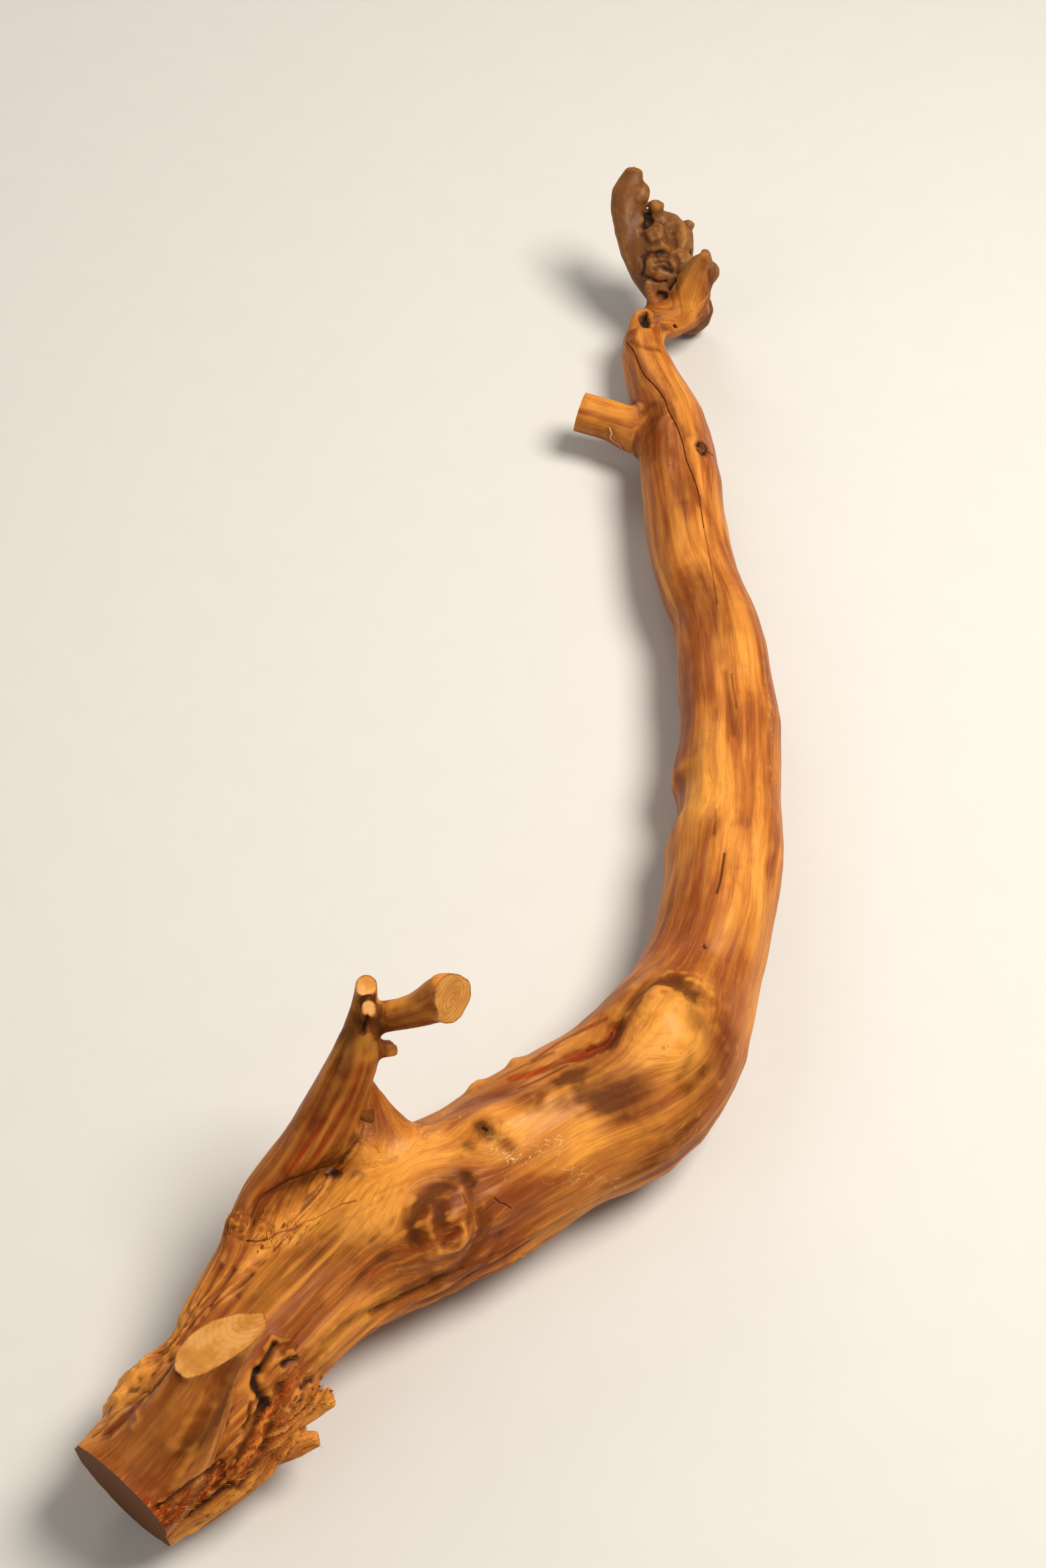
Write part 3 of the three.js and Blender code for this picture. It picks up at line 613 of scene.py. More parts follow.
def smooth_step(low, high, value):
    t = np.clip((value - low) / (high - low), 0, 1)
    return t * t * (3 - 2 * t)


def triangles_of(mesh):
    """A mesh's points and its triangles, as arrays."""
    points = np.empty(len(mesh.vertices) * 3, np.float32)
    mesh.vertices.foreach_get("co", points)
    mesh.calc_loop_triangles()
    corners = np.empty(len(mesh.loop_triangles) * 3, np.int32)
    mesh.loop_triangles.foreach_get("vertices", corners)
    return points.reshape(-1, 3).astype(float), corners.reshape(-1, 3).astype(np.int64)


def mesh_of(name, points, triangles):
    mesh = bpy.data.meshes.new(name)
    mesh.vertices.add(len(points))
    mesh.vertices.foreach_set("co", points.astype(np.float32).ravel())
    mesh.loops.add(triangles.size)
    mesh.loops.foreach_set("vertex_index", triangles.astype(np.int32).ravel())
    mesh.polygons.add(len(triangles))
    mesh.polygons.foreach_set("loop_start", np.arange(0, triangles.size, 3, dtype=np.int32))
    mesh.update(calc_edges=True)
    mesh.validate()
    return mesh


def object_of(name, data):
    made = bpy.data.objects.new(name, data)
    bpy.context.scene.collection.objects.link(made)
    return made


def face_normals(points, triangles):
    """Normals of the triangles, as long as twice their area."""
    a, b, c = (points[triangles[:, k]] for k in range(3))
    return np.cross(b - a, c - a)


def point_normals(points, triangles):
    faces = face_normals(points, triangles)
    total = np.zeros_like(points)
    for k in range(3):
        for axis in range(3):
            total[:, axis] += np.bincount(triangles[:, k], faces[:, axis], len(points))
    return total / (np.linalg.norm(total, axis=1)[:, None] + 1e-20)


def edges_of(triangles):
    """Each edge once, and for each triangle the numbers of its three edges."""
    pairs = np.concatenate([triangles[:, [0, 1]], triangles[:, [1, 2]], triangles[:, [2, 0]]])
    pairs.sort(axis=1)
    key = pairs[:, 0] * (triangles.max() + 1) + pairs[:, 1]
    _, first, inverse = np.unique(key, return_index=True, return_inverse=True)
    return pairs[first], inverse.reshape(3, -1).T


def neighbours_mean(points, edges):
    """For each point the mean of the points that it shares an edge with."""
    near, far = edges.T
    count = np.bincount(edges.ravel(), minlength=len(points))
    return np.stack([
        np.bincount(near, points[far, k], len(points)) + np.bincount(far, points[near, k], len(points))
        for k in range(3)], 1) / count[:, None]


def smoothed(points, triangles, share, rounds, back=1.02):
    """Evens the skin out and keeps its girth: each push inwards is followed by one back outwards."""
    edges, _ = edges_of(triangles)
    for turn in range(rounds):
        push = share if turn % 2 == 0 else -back * share
        points = points + push[:, None] * (neighbours_mean(points, edges) - points)
    return points


def split_edges(points, triangles, marked, at):
    """Cuts the marked edges at a share of their length and parts their triangles to suit."""
    edges, of_triangle = edges_of(triangles)
    number = np.full(len(edges), -1)
    number[marked] = len(points) + np.arange(marked.sum())
    ends = points[edges[marked]]
    cut = at[marked][:, None]
    points = np.concatenate([points, ends[:, 0] * (1 - cut) + ends[:, 1] * cut])
    middle = number[of_triangle]
    amount = (middle >= 0).sum(1)
    parts = [triangles[amount == 0]]
    for turn in range(3):
        order = [(turn + k) % 3 for k in range(3)]
        a, b, c = (triangles[:, k] for k in order)
        m, n, o = (middle[:, k] for k in order)
        one = (amount == 1) & (m >= 0)
        parts.append(np.stack([a, m, c], 1)[one])
        parts.append(np.stack([m, b, c], 1)[one])
        two = (amount == 2) & (o < 0)
        parts.append(np.stack([m, b, n], 1)[two])
        parts.append(np.stack([a, m, n], 1)[two])
        parts.append(np.stack([a, n, c], 1)[two])
    three = amount == 3
    a, b, c = (triangles[three, k] for k in range(3))
    m, n, o = (middle[three, k] for k in range(3))
    for corners in ((a, m, o), (m, b, n), (o, n, c), (m, n, o)):
        parts.append(np.stack(corners, 1))
    return points, np.concatenate(parts)


def smooth_curve(rows, shares_of):
    """Points of the smooth curve through the rows: each span gives the shares of its way that it wants."""
    rows = np.array(rows, float)
    rows = np.concatenate([2 * rows[:1] - rows[1:2], rows, 2 * rows[-1:] - rows[-2:-1]])
    curve = []
    for a, b, c, d in zip(rows, rows[1:], rows[2:], rows[3:]):
        for t in shares_of(c - b):
            curve.append(0.5 * (2 * b + (c - a) * t + (2 * a - 5 * b + 4 * c - d) * t * t
                                + (3 * b - a - 3 * c + d) * t ** 3))
    return np.array(curve + [rows[-2]])


def refined(points, triangles, longest):
    """Halves the edges that are longer than the longest that is allowed where they lie."""
    edges, _ = edges_of(triangles)
    length = np.linalg.norm(points[edges[:, 0]] - points[edges[:, 1]], axis=1)
    allowed = longest[edges].min(1)
    return split_edges(points, triangles, length > 1.4 * allowed, np.full(len(edges), 0.5))


class Limb:
    """A limb's middle line, and where points lie in the wood that grew along it."""

    def __init__(self, stations, parent):
        def even_shares(span):
            steps = max(1, int(np.linalg.norm(span[:3]) / LIMB_STEP))
            return np.arange(steps) / steps

        line = smooth_curve(stations, even_shares)
        self.line = line[:, :3] * MM + origin()
        self.radius = line[:, 3] * MM
        gaps = np.diff(self.line, axis=0)
        self.length = np.concatenate([[0], np.cumsum(np.linalg.norm(gaps, axis=1))])
        self.forward = np.apply_along_axis(unit, 1, np.gradient(self.line, axis=0))
        start = self.line[:1]
        side = np.array([0.0, 0.0, 1.0]) if parent is None else parent.side[parent.nearest(start)[0]]
        self.side = np.empty_like(self.line)
        for k, forward in enumerate(self.forward):
            side = unit(side - forward * side.dot(forward))
            self.side[k] = side
        self.rise = np.cross(self.forward, self.side)
        self.girth = self.radius.mean()
        self.offset = np.zeros(3)
        if parent is not None:
            self.offset = parent.grain(start)[0][0] - self.grain(start)[0][0]

    def nearest(self, points):
        found = np.empty(len(points), np.int64)
        size = (self.line ** 2).sum(1)
        for low in range(0, len(points), 20000):
            part = points[low:low + 20000]
            found[low:low + 20000] = np.argmin(size - 2 * part @ self.line.T, axis=1)
        return found

    def grain(self, points):
        """Across, up and along the limb for each point, how many of its radii the point is out, and where on
        the middle line. Across and up are an even limb's, so the fibres follow the skin where it tapers."""
        k = self.nearest(points)
        out = points - self.line[k]
        along = self.length[k] + (out * self.forward[k]).sum(1)
        local = np.stack([(out * self.side[k]).sum(1), (out * self.rise[k]).sum(1), along], 1)
        local[:, :2] *= (self.girth / (np.linalg.norm(local[:, :2], axis=1) + 0.2 * self.girth))[:, None]
        return local + self.offset, np.linalg.norm(out, axis=1) / self.radius[k], k


@functools.cache
def grown_limbs():
    made = {}
    for name, (parent, stations) in LIMBS.items():
        made[name] = Limb(stations, made.get(parent))
    return made


def wood_at(points):
    """The wood's own coordinates at each point, the way of its fibres, its limb's radius and its distance
    from the pith."""
    total, forward, radius, pith, out = None, None, None, None, None
    for limb in grown_limbs().values():
        grain, share, k = limb.grain(points)
        from_pith = share * limb.radius[k]
        if total is None:
            total, forward, radius, pith, out = grain, limb.forward[k], limb.radius[k], from_pith, share
            continue
        weight = smooth_step(-LIMB_BLEND / 2, LIMB_BLEND / 2, out - share)
        total = total + weight[:, None] * (grain - total)
        forward = forward + weight[:, None] * (limb.forward[k] - forward)
        radius = radius + weight * (limb.radius[k] - radius)
        pith = pith + weight * (from_pith - pith)
        out = np.minimum(out, share)
    return total, forward / (np.linalg.norm(forward, axis=1)[:, None] + 1e-9), radius, pith


def sight(pixel):
    """The camera's place and the way it looks through a pixel of the picture."""
    width, height = PICTURE
    reach = LENS / SENSOR * height
    ahead = np.array([0, math.cos(CAMERA_DOWN), -math.sin(CAMERA_DOWN)])
    upward = np.array([0, math.sin(CAMERA_DOWN), math.cos(CAMERA_DOWN)])
    ray = reach * ahead + (pixel[0] - width / 2) * np.array([1, 0, 0]) - (pixel[1] - height / 2) * upward
    return placed(CAMERA_AT), unit(ray)


def seen(tree, pixel):
    """Where a pixel of the picture falls on the skin, or the skin's point closest to that line of sight."""
    start, ray = sight(pixel)
    spot = tree.ray_cast(Vector(start), Vector(ray))[0]
    far = 1.2
    while spot is None:
        near = tree.find_nearest(Vector(start + ray * far))[0]
        ahead = (np.array(near) - start) @ ray
        if abs(ahead - far) < 0.2 * MM:
            spot = near
        far = ahead
    return np.array(spot)


def from_line(points, line):
    """Distance of each point from a line through places on the skin."""
    best = np.full(len(points), np.inf)
    for a, b in zip(line, line[1:]):
        along = b - a
        share = np.clip((points - a) @ along / (along @ along + 1e-12), 0, 1)
        best = np.minimum(best, np.linalg.norm(points - a - share[:, None] * along, axis=1))
    return best


def drawn(tree, line, reach):
    """The places on the skin that a line through pixels of the picture runs over."""
    step = CLOSE_PIXELS if reach < NARROW else WIDE_PIXELS

    def even_shares(span):
        return np.linspace(0, 1, 1 + math.ceil(np.linalg.norm(span) / step))[:-1]

    return np.array([seen(tree, pixel) for pixel in smooth_curve(line, even_shares)])


def near_line(points, line, reach):
    low = line.min(0) - reach
    high = line.max(0) + reach
    return np.flatnonzero(((points > low) & (points < high)).all(1))


def joined_solids():
    """The solids as one set of points and triangles, with the number of each triangle's solid."""
    all_points, all_triangles, owner, count = [], [], [], 0
    for number, node in enumerate(PIECES):
        points, triangles = triangles_of(frame["nodes"][node].data)
        all_points.append(points)
        all_triangles.append(triangles + count)
        owner += [number] * len(triangles)
        count += len(points)
    return np.concatenate(all_points), np.concatenate(all_triangles), owner


def wrapped_solids():
    """One closed even mesh round all the solids, its saw cuts left long."""
    points, triangles, _ = joined_solids()
    for _, _, at, along, reach in FORKS:
        from_fork = points - placed(at)
        depth = from_fork @ unit(along) / MM
        inside = (np.abs(depth - KERF / 2) < KERF) & (np.linalg.norm(from_fork, axis=1) < reach * 1.5 * MM)
        triangles = triangles[~inside[triangles].all(1)]
    for at, along, reach in SAWS.values():
        from_saw = points - placed(at)
        depth = from_saw @ unit(along)
        on_face = (np.abs(depth) < 0.1 * MM) & (np.linalg.norm(from_saw, axis=1) < reach * MM)
        points[on_face] += unit(along) * SAW_EXTRA * MM
    solid = object_of("wrap", mesh_of("wrap", points, triangles))
    remesh = solid.modifiers.new("Even skin", "REMESH")
    remesh.mode = "VOXEL"
    remesh.voxel_size = sizes().spacing * 1.0
    wrap = bpy.data.meshes.new_from_object(solid.evaluated_get(bpy.context.evaluated_depsgraph_get()))
    bpy.data.objects.remove(solid)
    points, triangles = triangles_of(wrap)
    bpy.data.meshes.remove(wrap)
    return points, triangles


def knots_bend(points, grain, rings, bite, tree):
    """Leads the fibres round each knot and gives the knot rings of its own."""
    for pixel, radius, strength, clear in KNOTS:
        centre = seen(tree, pixel)
        facing = np.array(tree.find_nearest(Vector(centre))[1])
        radius = radius * MM
        near = near_line(points, centre[None], 5 * radius)
        if len(near) == 0:
            continue
        delta = points[near] - centre
        _, forward, _, _ = wood_at(centre[None])
        across = unit(np.cross(forward[0], facing))
        limb = grown_limbs()["stem"]
        k = limb.nearest(centre[None])[0]
        side = delta @ across
        flat = np.sqrt(side ** 2 + (delta @ forward[0]) ** 2 + 0.3 * (delta @ facing) ** 2)
        fade = 1 - smooth_step(3 * radius, 5 * radius, flat)
        shift = -strength * side * np.minimum(1, (radius / (flat + 1e-6)) ** 2) * fade
        grain[near, 0] += shift * across.dot(limb.side[k])
        grain[near, 1] += shift * across.dot(limb.rise[k])
        inside = (1 - smooth_step(0.6 * radius, 1.3 * radius, flat)) * clear
        rings[near] += inside * (flat - rings[near])
        bite[near] = np.maximum(bite[near], inside)
    return grain, rings, bite


def marks_on(points, lines):
    """Height and tones that the strokes give to each point, and the longest edge that suits them."""
    fields = {tone: np.zeros(len(points)) for tone in TONES}
    height = np.zeros(len(points))
    longest = np.full(len(points), float(ANY_EDGE)) * MM
    wobble = noise(points / (5 * MM), 3)
    for mark, line in zip(STROKES, lines):
        reach = mark["reach"] * MM
        near = near_line(points, line, 3.2 * reach)
        if len(near) == 0:
            continue
        away = from_line(points[near], line)
        shape = np.exp(-0.5 * (away / (reach * (1 + 0.3 * wobble[near]))) ** 2)
        height[near] += mark["rise"] * MM * shape
        fields["crumb"][near] += mark["crumb"] * shape
        for tone, amount in mark["tones"].items():
            fields[tone][near] += amount * shape
        crumbly = mark["crumb"] > 0.3
        if crumbly or abs(mark["rise"]) > 0.45 and mark["reach"] < 3:
            wanted = min(max(0.28, 0.6 * mark["reach"]), 0.9 if crumbly else 1.2) * MM
            beside = away < 1.6 * reach + 0.7 * MM
            longest[near] = np.minimum(longest[near], np.where(beside, wanted, ANY_EDGE * MM))
    return fields, height, longest


def crown_share(points):
    """How far into the gnarled crown a point lies, from 0 to 1."""
    return smooth_step(CROWN_FROM, CROWN_FULL, points[:, 1])


def butt_share(points):
    """How weathered the wood is: fully at the butt, not at all on the trunk's polished back."""
    low = 1 - smooth_step(-0.40, -0.28, points[:, 1] + 0.35 * points[:, 0])
    under = smooth_step(0.075, 0.045, points[:, 2]) * (1 - smooth_step(-0.30, -0.2, points[:, 1]))
    return np.clip(low + 0.6 * under, 0, 1)


def carve(points, triangles, lines):
    """Gives the smooth skin its relief and works out everything that the finish reads from it."""
    grain, forward, radius, pith = wood_at(points)
    fields, height, _ = marks_on(points, lines)
    crown, rough = crown_share(points), 1 - 0.85 * np.clip(fields["calm"], 0, 1)
    worn = butt_share(points) * rough
    thin = smooth_step(3 * MM, 16 * MM, radius)
    flutes = noise(grain / np.array([9, 9, 80]) / MM, 11) + 0.5 * noise(grain / np.array([4, 4, 60]) / MM, 12)
    fine = noise(grain / np.array([2.4, 2.4, 40]) / MM, 13)
    swells = noise(points / (17 * MM), 14)
    relief = height + sizes().flute * thin * rough * (flutes + 0.4 * fine + 0.6 * swells)
    relief += sizes().weather * worn * thin * (0.9 * flutes + 0.5 * fine)
    curls = 1 - 2 * np.abs(noise(points / (15 * MM), 15))
    curls += 0.3 * (1 - 2 * np.abs(noise(points / (7 * MM), 16)))
    relief += sizes().curl * crown * thin * curls
    layers = 3 * noise(grain / np.array([5.5, 5.5, 13]) / MM, 17) + 0.5 * noise(points / (3 * MM), 19)
    chips = (np.floor(layers) + smooth_step(0.3, 0.7, layers - np.floor(layers))) / 3
    chips += 0.3 * noise(grain / np.array([1.8, 1.8, 6]) / MM, 18)
    relief += sizes().crumb * np.clip(fields["crumb"], 0, 1.2) * chips
    normals = point_normals(points, triangles)
    moved = points + normals * relief[:, None]
    low, high = (np.array(corner) for corner in CAD_BOX)
    moved = np.clip(moved, low + 0.02 * MM, high - 0.02 * MM)
    fields["curl"] = crown
    fields["worn"] = worn
    return moved, grain, forward, pith, fields


def hollows(points, triangles):
    """How far each point lies below the skin's own evened shape, in mm: above zero in clefts."""
    even = points
    edges, _ = edges_of(triangles)
    for _ in range(6):
        even = 0.3 * even + 0.7 * neighbours_mean(even, edges)
    return ((even - points) * point_normals(points, triangles)).sum(1) / MM


def loops_round(triangles):
    """The open borders of a mesh, each as a closed row of points in the order of its triangles."""
    halves = np.concatenate([triangles[:, [0, 1]], triangles[:, [1, 2]], triangles[:, [2, 0]]])
    size = triangles.max() + 1
    paired = np.isin(halves[:, 1] * size + halves[:, 0], halves[:, 0] * size + halves[:, 1])
    follow = {}
    for a, b in halves[~paired]:
        follow.setdefault(int(a), []).append(int(b))
    loops = []
    while follow:
        start = next(iter(follow))
        row, here = [start], start
        while True:
            nexts = follow[here]
            there = nexts.pop()
            if not nexts:
                del follow[here]
            if there == start:
                break
            row.append(there)
            here = there
            if here not in follow:
                raise RuntimeError("a border of the skin isn't closed")
        loops.append(row)
    return loops


def within(spots, rim):
    """Whether each flat spot lies inside a closed rim."""
    count = np.zeros(len(spots), np.int64)
    for a, b in zip(rim, np.roll(rim, -1, axis=0)):
        spans = (a[1] > spots[:, 1]) != (b[1] > spots[:, 1])
        rise = b[1] - a[1] if b[1] != a[1] else 1
        count += spans & (spots[:, 0] < a[0] + (spots[:, 1] - a[1]) * (b[0] - a[0]) / rise)
    return count % 2 == 1


def face_values(name, spots):
    """What the finish reads on a sawn face: its rings, which lie round a pith of their own, its painted shade
    and how pale it is.
    """
    at, along, _ = SAWS[name]
    pixel, stretch, dark, pale = SAW_FACES[name]
    along, start = unit(along), placed(at)
    eye, ray = sight(pixel)
    pith = eye + ray * ((start - eye) @ along / (ray @ along))
    forward = wood_at(pith[None])[1][0]
    slope = unit(forward - along * (forward @ along) + 1e-6)
    out = spots - pith
    rings = np.sqrt(np.maximum((out ** 2).sum(1) - (out @ slope) ** 2 * (1 - stretch ** -2), 0))
    return np.stack([rings, np.full(len(spots), dark), np.full(len(spots), pale)], 1)


def saw_off(points, triangles, values, name):
    """Cuts the skin along a saw's plane and closes it with an even flat face."""
    at, along, reach = SAWS[name]
    along = unit(along)
    centre = placed(at)

    def depth_of(spots):
        delta = spots - centre
        depth = delta @ along
        beside = np.linalg.norm(delta - depth[:, None] * along, axis=1)
        return depth, (beside < reach * MM) & (depth > -6 * MM) & (depth < (SAW_EXTRA + 3) * MM)

    depth, inside = depth_of(points)
    close = inside & (np.abs(depth) < 0.2 * MM)
    points = points.copy()
    points[close] -= depth[close][:, None] * along
    depth[close] = 0
    edges, _ = edges_of(triangles)
    ends = depth[edges]
    marked = (ends[:, 0] * ends[:, 1] < 0) & inside[edges].all(1)
    share = np.where(marked, ends[:, 0] / np.where(marked, ends[:, 0] - ends[:, 1], 1), 0.5)
    first, second, cut = values[edges[marked, 0]], values[edges[marked, 1]], share[marked][:, None]
    values = np.concatenate([values, first * (1 - cut) + second * cut])
    points, triangles = split_edges(points, triangles, marked, share)
    depth, inside = depth_of(points)
    middle = depth[triangles].mean(1)
    gone = (middle > 1e-7) & inside[triangles].all(1)
    triangles = triangles[~gone]
    side = unit(np.cross(along, (0, 0, 1) if abs(along[2]) < 0.9 else (1, 0, 0)))
    rise = np.cross(along, side)
    caps = []
    for row in loops_round(triangles):
        rim = np.array(row)
        flat = np.stack([(points[rim] - centre) @ side, (points[rim] - centre) @ rise], 1)
        step = CAP_STEP * MM
        low, high = flat.min(0), flat.max(0)
        grid = np.array([
            (x + (line % 2) * step / 2, y)
            for line, y in enumerate(np.arange(low[1], high[1], step * 0.866))
            for x in np.arange(low[0], high[0], step)])
        gap = np.min(np.linalg.norm(grid[:, None] - flat[None], axis=2), axis=1)
        grid = grid[(gap > 0.6 * step) & within(grid, flat)]
        every = np.concatenate([flat, grid])
        borders = [(k, (k + 1) % len(rim)) for k in range(len(rim))]
        found = delaunay_2d_cdt([Vector(p) for p in every], borders, [], 0, 1e-9, True)
        new, faces, source = found[0], np.array([list(face) for face in found[2]]), found[3]
        faces = faces[within(np.array([tuple(spot) for spot in new])[faces].mean(1), flat)]
        ids = np.empty(len(new), np.int64)
        added = []
        for k, where in enumerate(new):
            rims = [s for s in source[k] if s < len(rim)]
            if rims:
                ids[k] = rim[rims[0]]
            else:
                ids[k] = len(points) + len(added)
                added.append(centre + side * where.x + rise * where.y)
        points = np.concatenate([points, np.array(added).reshape(-1, 3)])
        values = np.concatenate([values, np.repeat(values[rim].mean(0)[None], len(added), axis=0)])
        cap = ids[faces]
        used = np.unique(cap)
        values[used, -4:-1] = face_values(name, points[used])
        values[rim, -1] = 1
        turned = face_normals(points, cap).sum(0) @ along < 0
        caps.append(cap[:, ::-1] if turned else cap)
    return points, triangles, values, np.concatenate(caps)


def owners(points, triangles):
    """The solid that each triangle of the skin belongs to."""
    names = list(PIECES)
    solid, faces, owner = joined_solids()
    tree = BVHTree.FromPolygons(solid.tolist(), faces.tolist())
    middle = points[triangles].mean(1)
    near = np.array([owner[tree.find_nearest(Vector(spot))[2]] for spot in middle])
    for before, after, at, along, reach in FORKS:
        first, second = names.index(before), names.index(after)
        delta = middle - placed(at) - unit(along) * KERF / 2 * MM
        depth = delta @ unit(along)
        close = (np.linalg.norm(delta, axis=1) < reach * MM) & (np.abs(depth) < 12 * MM)
        close &= (near == first) | (near == second)
        near[close] = np.where(depth[close] > 0, second, first)
    return near


def whole(points, triangles, owner):
    """Hands stray patches of a few triangles to the piece round them."""
    edges, of_triangle = edges_of(triangles)
    for _ in range(12):
        order = np.argsort(of_triangle.ravel(), kind="stable")
        pairs = (order // 3).reshape(-1, 2)
        other = np.empty((len(triangles), 3), np.int64)
        flat = other.ravel()
        flat[order[0::2]] = pairs[:, 1]
        flat[order[1::2]] = pairs[:, 0]
        around = owner[flat.reshape(-1, 3)]
        agree = (around[:, 0] == around[:, 1]) | (around[:, 0] == around[:, 2])
        outvoted = (around != owner[:, None]).sum(1) >= 2
        value = np.where(agree, around[:, 0], around[:, 1])
        same = agree | (around[:, 1] == around[:, 2])
        change = outvoted & same & (value != owner)
        if not change.any():
            break
        owner = np.where(change, value, owner)
    return owner


@functools.cache
def carved_skin():
    """The finished skin of the whole root: points, triangles, owners, normals and what the finish reads."""
    points, triangles = wrapped_solids()
    _, _, radius, _ = wood_at(points)
    share = 0.1 + 0.42 * smooth_step(3 * MM, 16 * MM, radius)
    points = smoothed(points, triangles, share, EVEN_ROUNDS)
    tree = BVHTree.FromPolygons(points.tolist(), triangles.tolist())
    fillet = np.zeros(len(points))
    for line, reach in FILLETS:
        away = from_line(points, np.array([seen(tree, pixel) for pixel in line]))
        fillet = np.maximum(fillet, np.exp(-0.5 * (away / (reach * MM)) ** 2))
    points = smoothed(points, triangles, 0.6 * fillet, FILLET_ROUNDS, 0.0)
    tree = BVHTree.FromPolygons(points.tolist(), triangles.tolist())
    lines = [drawn(tree, mark["line"], mark["reach"]) for mark in STROKES]
    for _ in range(HALVE_ROUNDS):
        _, _, longest = marks_on(points, lines)
        edge = np.where(crown_share(points) > 0, CROWN_EDGE * MM, ANY_EDGE * MM)
        longest = np.minimum(longest, edge)
        points, triangles = refined(points, triangles, longest)
    points = smoothed(points, triangles, np.full(len(points), 0.4), 4)
    moved, grain, forward, pith, fields = carve(points, triangles, lines)
    rings, bite = pith.copy(), np.zeros(len(points))
    grain, rings, bite = knots_bend(points, grain, rings, bite, tree)
    hollow = hollows(moved, triangles)
    columns = [grain, forward, rings[:, None], bite[:, None], hollow[:, None]]
    columns += [fields[name][:, None] for name in FIELDS] + [np.zeros((len(points), 4))]
    values = np.concatenate(columns, axis=1)
    points = moved
    sawn = []
    for name in SAWS:
        points, triangles, values, cap = saw_off(points, triangles, values, name)
        sawn.append(cap)
        triangles = np.concatenate([triangles, cap])
    cap_keys = {tuple(row) for cap in sawn for row in cap.tolist()}
    faces_sawn = np.array([tuple(row) in cap_keys for row in triangles.tolist()])
    wall_normals = point_normals(points, triangles[~faces_sawn])
    cap_normals = point_normals(points, triangles[faces_sawn])
    owner = whole(points, triangles, owners(points, triangles))
    return points, triangles, faces_sawn, owner, wall_normals, cap_normals, values


def cut_piece(node):
    """One solid's part of the skin, closed at its forks, as a mesh with its attributes and normals."""
    points, triangles, faces_sawn, owner, wall_normals, cap_normals, values = carved_skin()
    mine = owner == list(PIECES).index(node)
    faces, sawn = triangles[mine], faces_sawn[mine]
    used, faces = np.unique(faces, return_inverse=True)
    faces = faces.reshape(-1, 3)
    spots, numbers, walls, caps = points[used], values[used], wall_normals[used], cap_normals[used]
    hidden = np.zeros(len(faces), bool)
    for row in loops_round(faces):
        centre = len(spots)
        spots = np.concatenate([spots, spots[row].mean(0)[None]])
        numbers = np.concatenate([numbers, numbers[row].mean(0)[None]])
        walls = np.concatenate([walls, walls[row].mean(0)[None]])
        caps = np.concatenate([caps, caps[row].mean(0)[None]])
        fan = np.array([(b, a, centre) for a, b in zip(row, row[1:] + row[:1])])
        faces = np.concatenate([faces, fan])
        sawn = np.concatenate([sawn, np.zeros(len(fan), bool)])
        hidden = np.concatenate([hidden, np.ones(len(fan), bool)])
    name, slot = f"{node}_wood", PIECES[node]
    mesh = mesh_of(name, spots, faces)
    if len(mesh.polygons) != len(faces):
        raise RuntimeError(f"{name} lost {len(faces) - len(mesh.polygons)} triangles")
    mesh.polygons.foreach_set("material_index", sawn.astype(np.int32))
    mesh.polygons.foreach_set("use_smooth", np.ones(len(faces), bool))
    corner = np.where(sawn[:, None, None], caps[faces], walls[faces])
    flat = face_normals(spots, faces)
    flat /= np.linalg.norm(flat, axis=1)[:, None] + 1e-20
    corner[hidden] = flat[hidden][:, None]
    mesh.normals_split_custom_set(corner.reshape(-1, 3).tolist())
    for title, columns in (("grain", slice(0, 3)), ("forward", slice(3, 6))):
        attribute = mesh.attributes.new(title, "FLOAT_VECTOR", "POINT")
        attribute.data.foreach_set("vector", numbers[:, columns].astype(np.float32).ravel())
    for number, title in enumerate(NUMBERS):
        attribute = mesh.attributes.new(title, "FLOAT", "POINT")
        attribute.data.foreach_set("value", numbers[:, 6 + number].astype(np.float32))
    piece = object_of(name, mesh)
    mesh.materials.append(skin_wood())
    mesh.materials.append(end_grain())
    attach(piece, "root")
    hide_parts(node)
    return piece


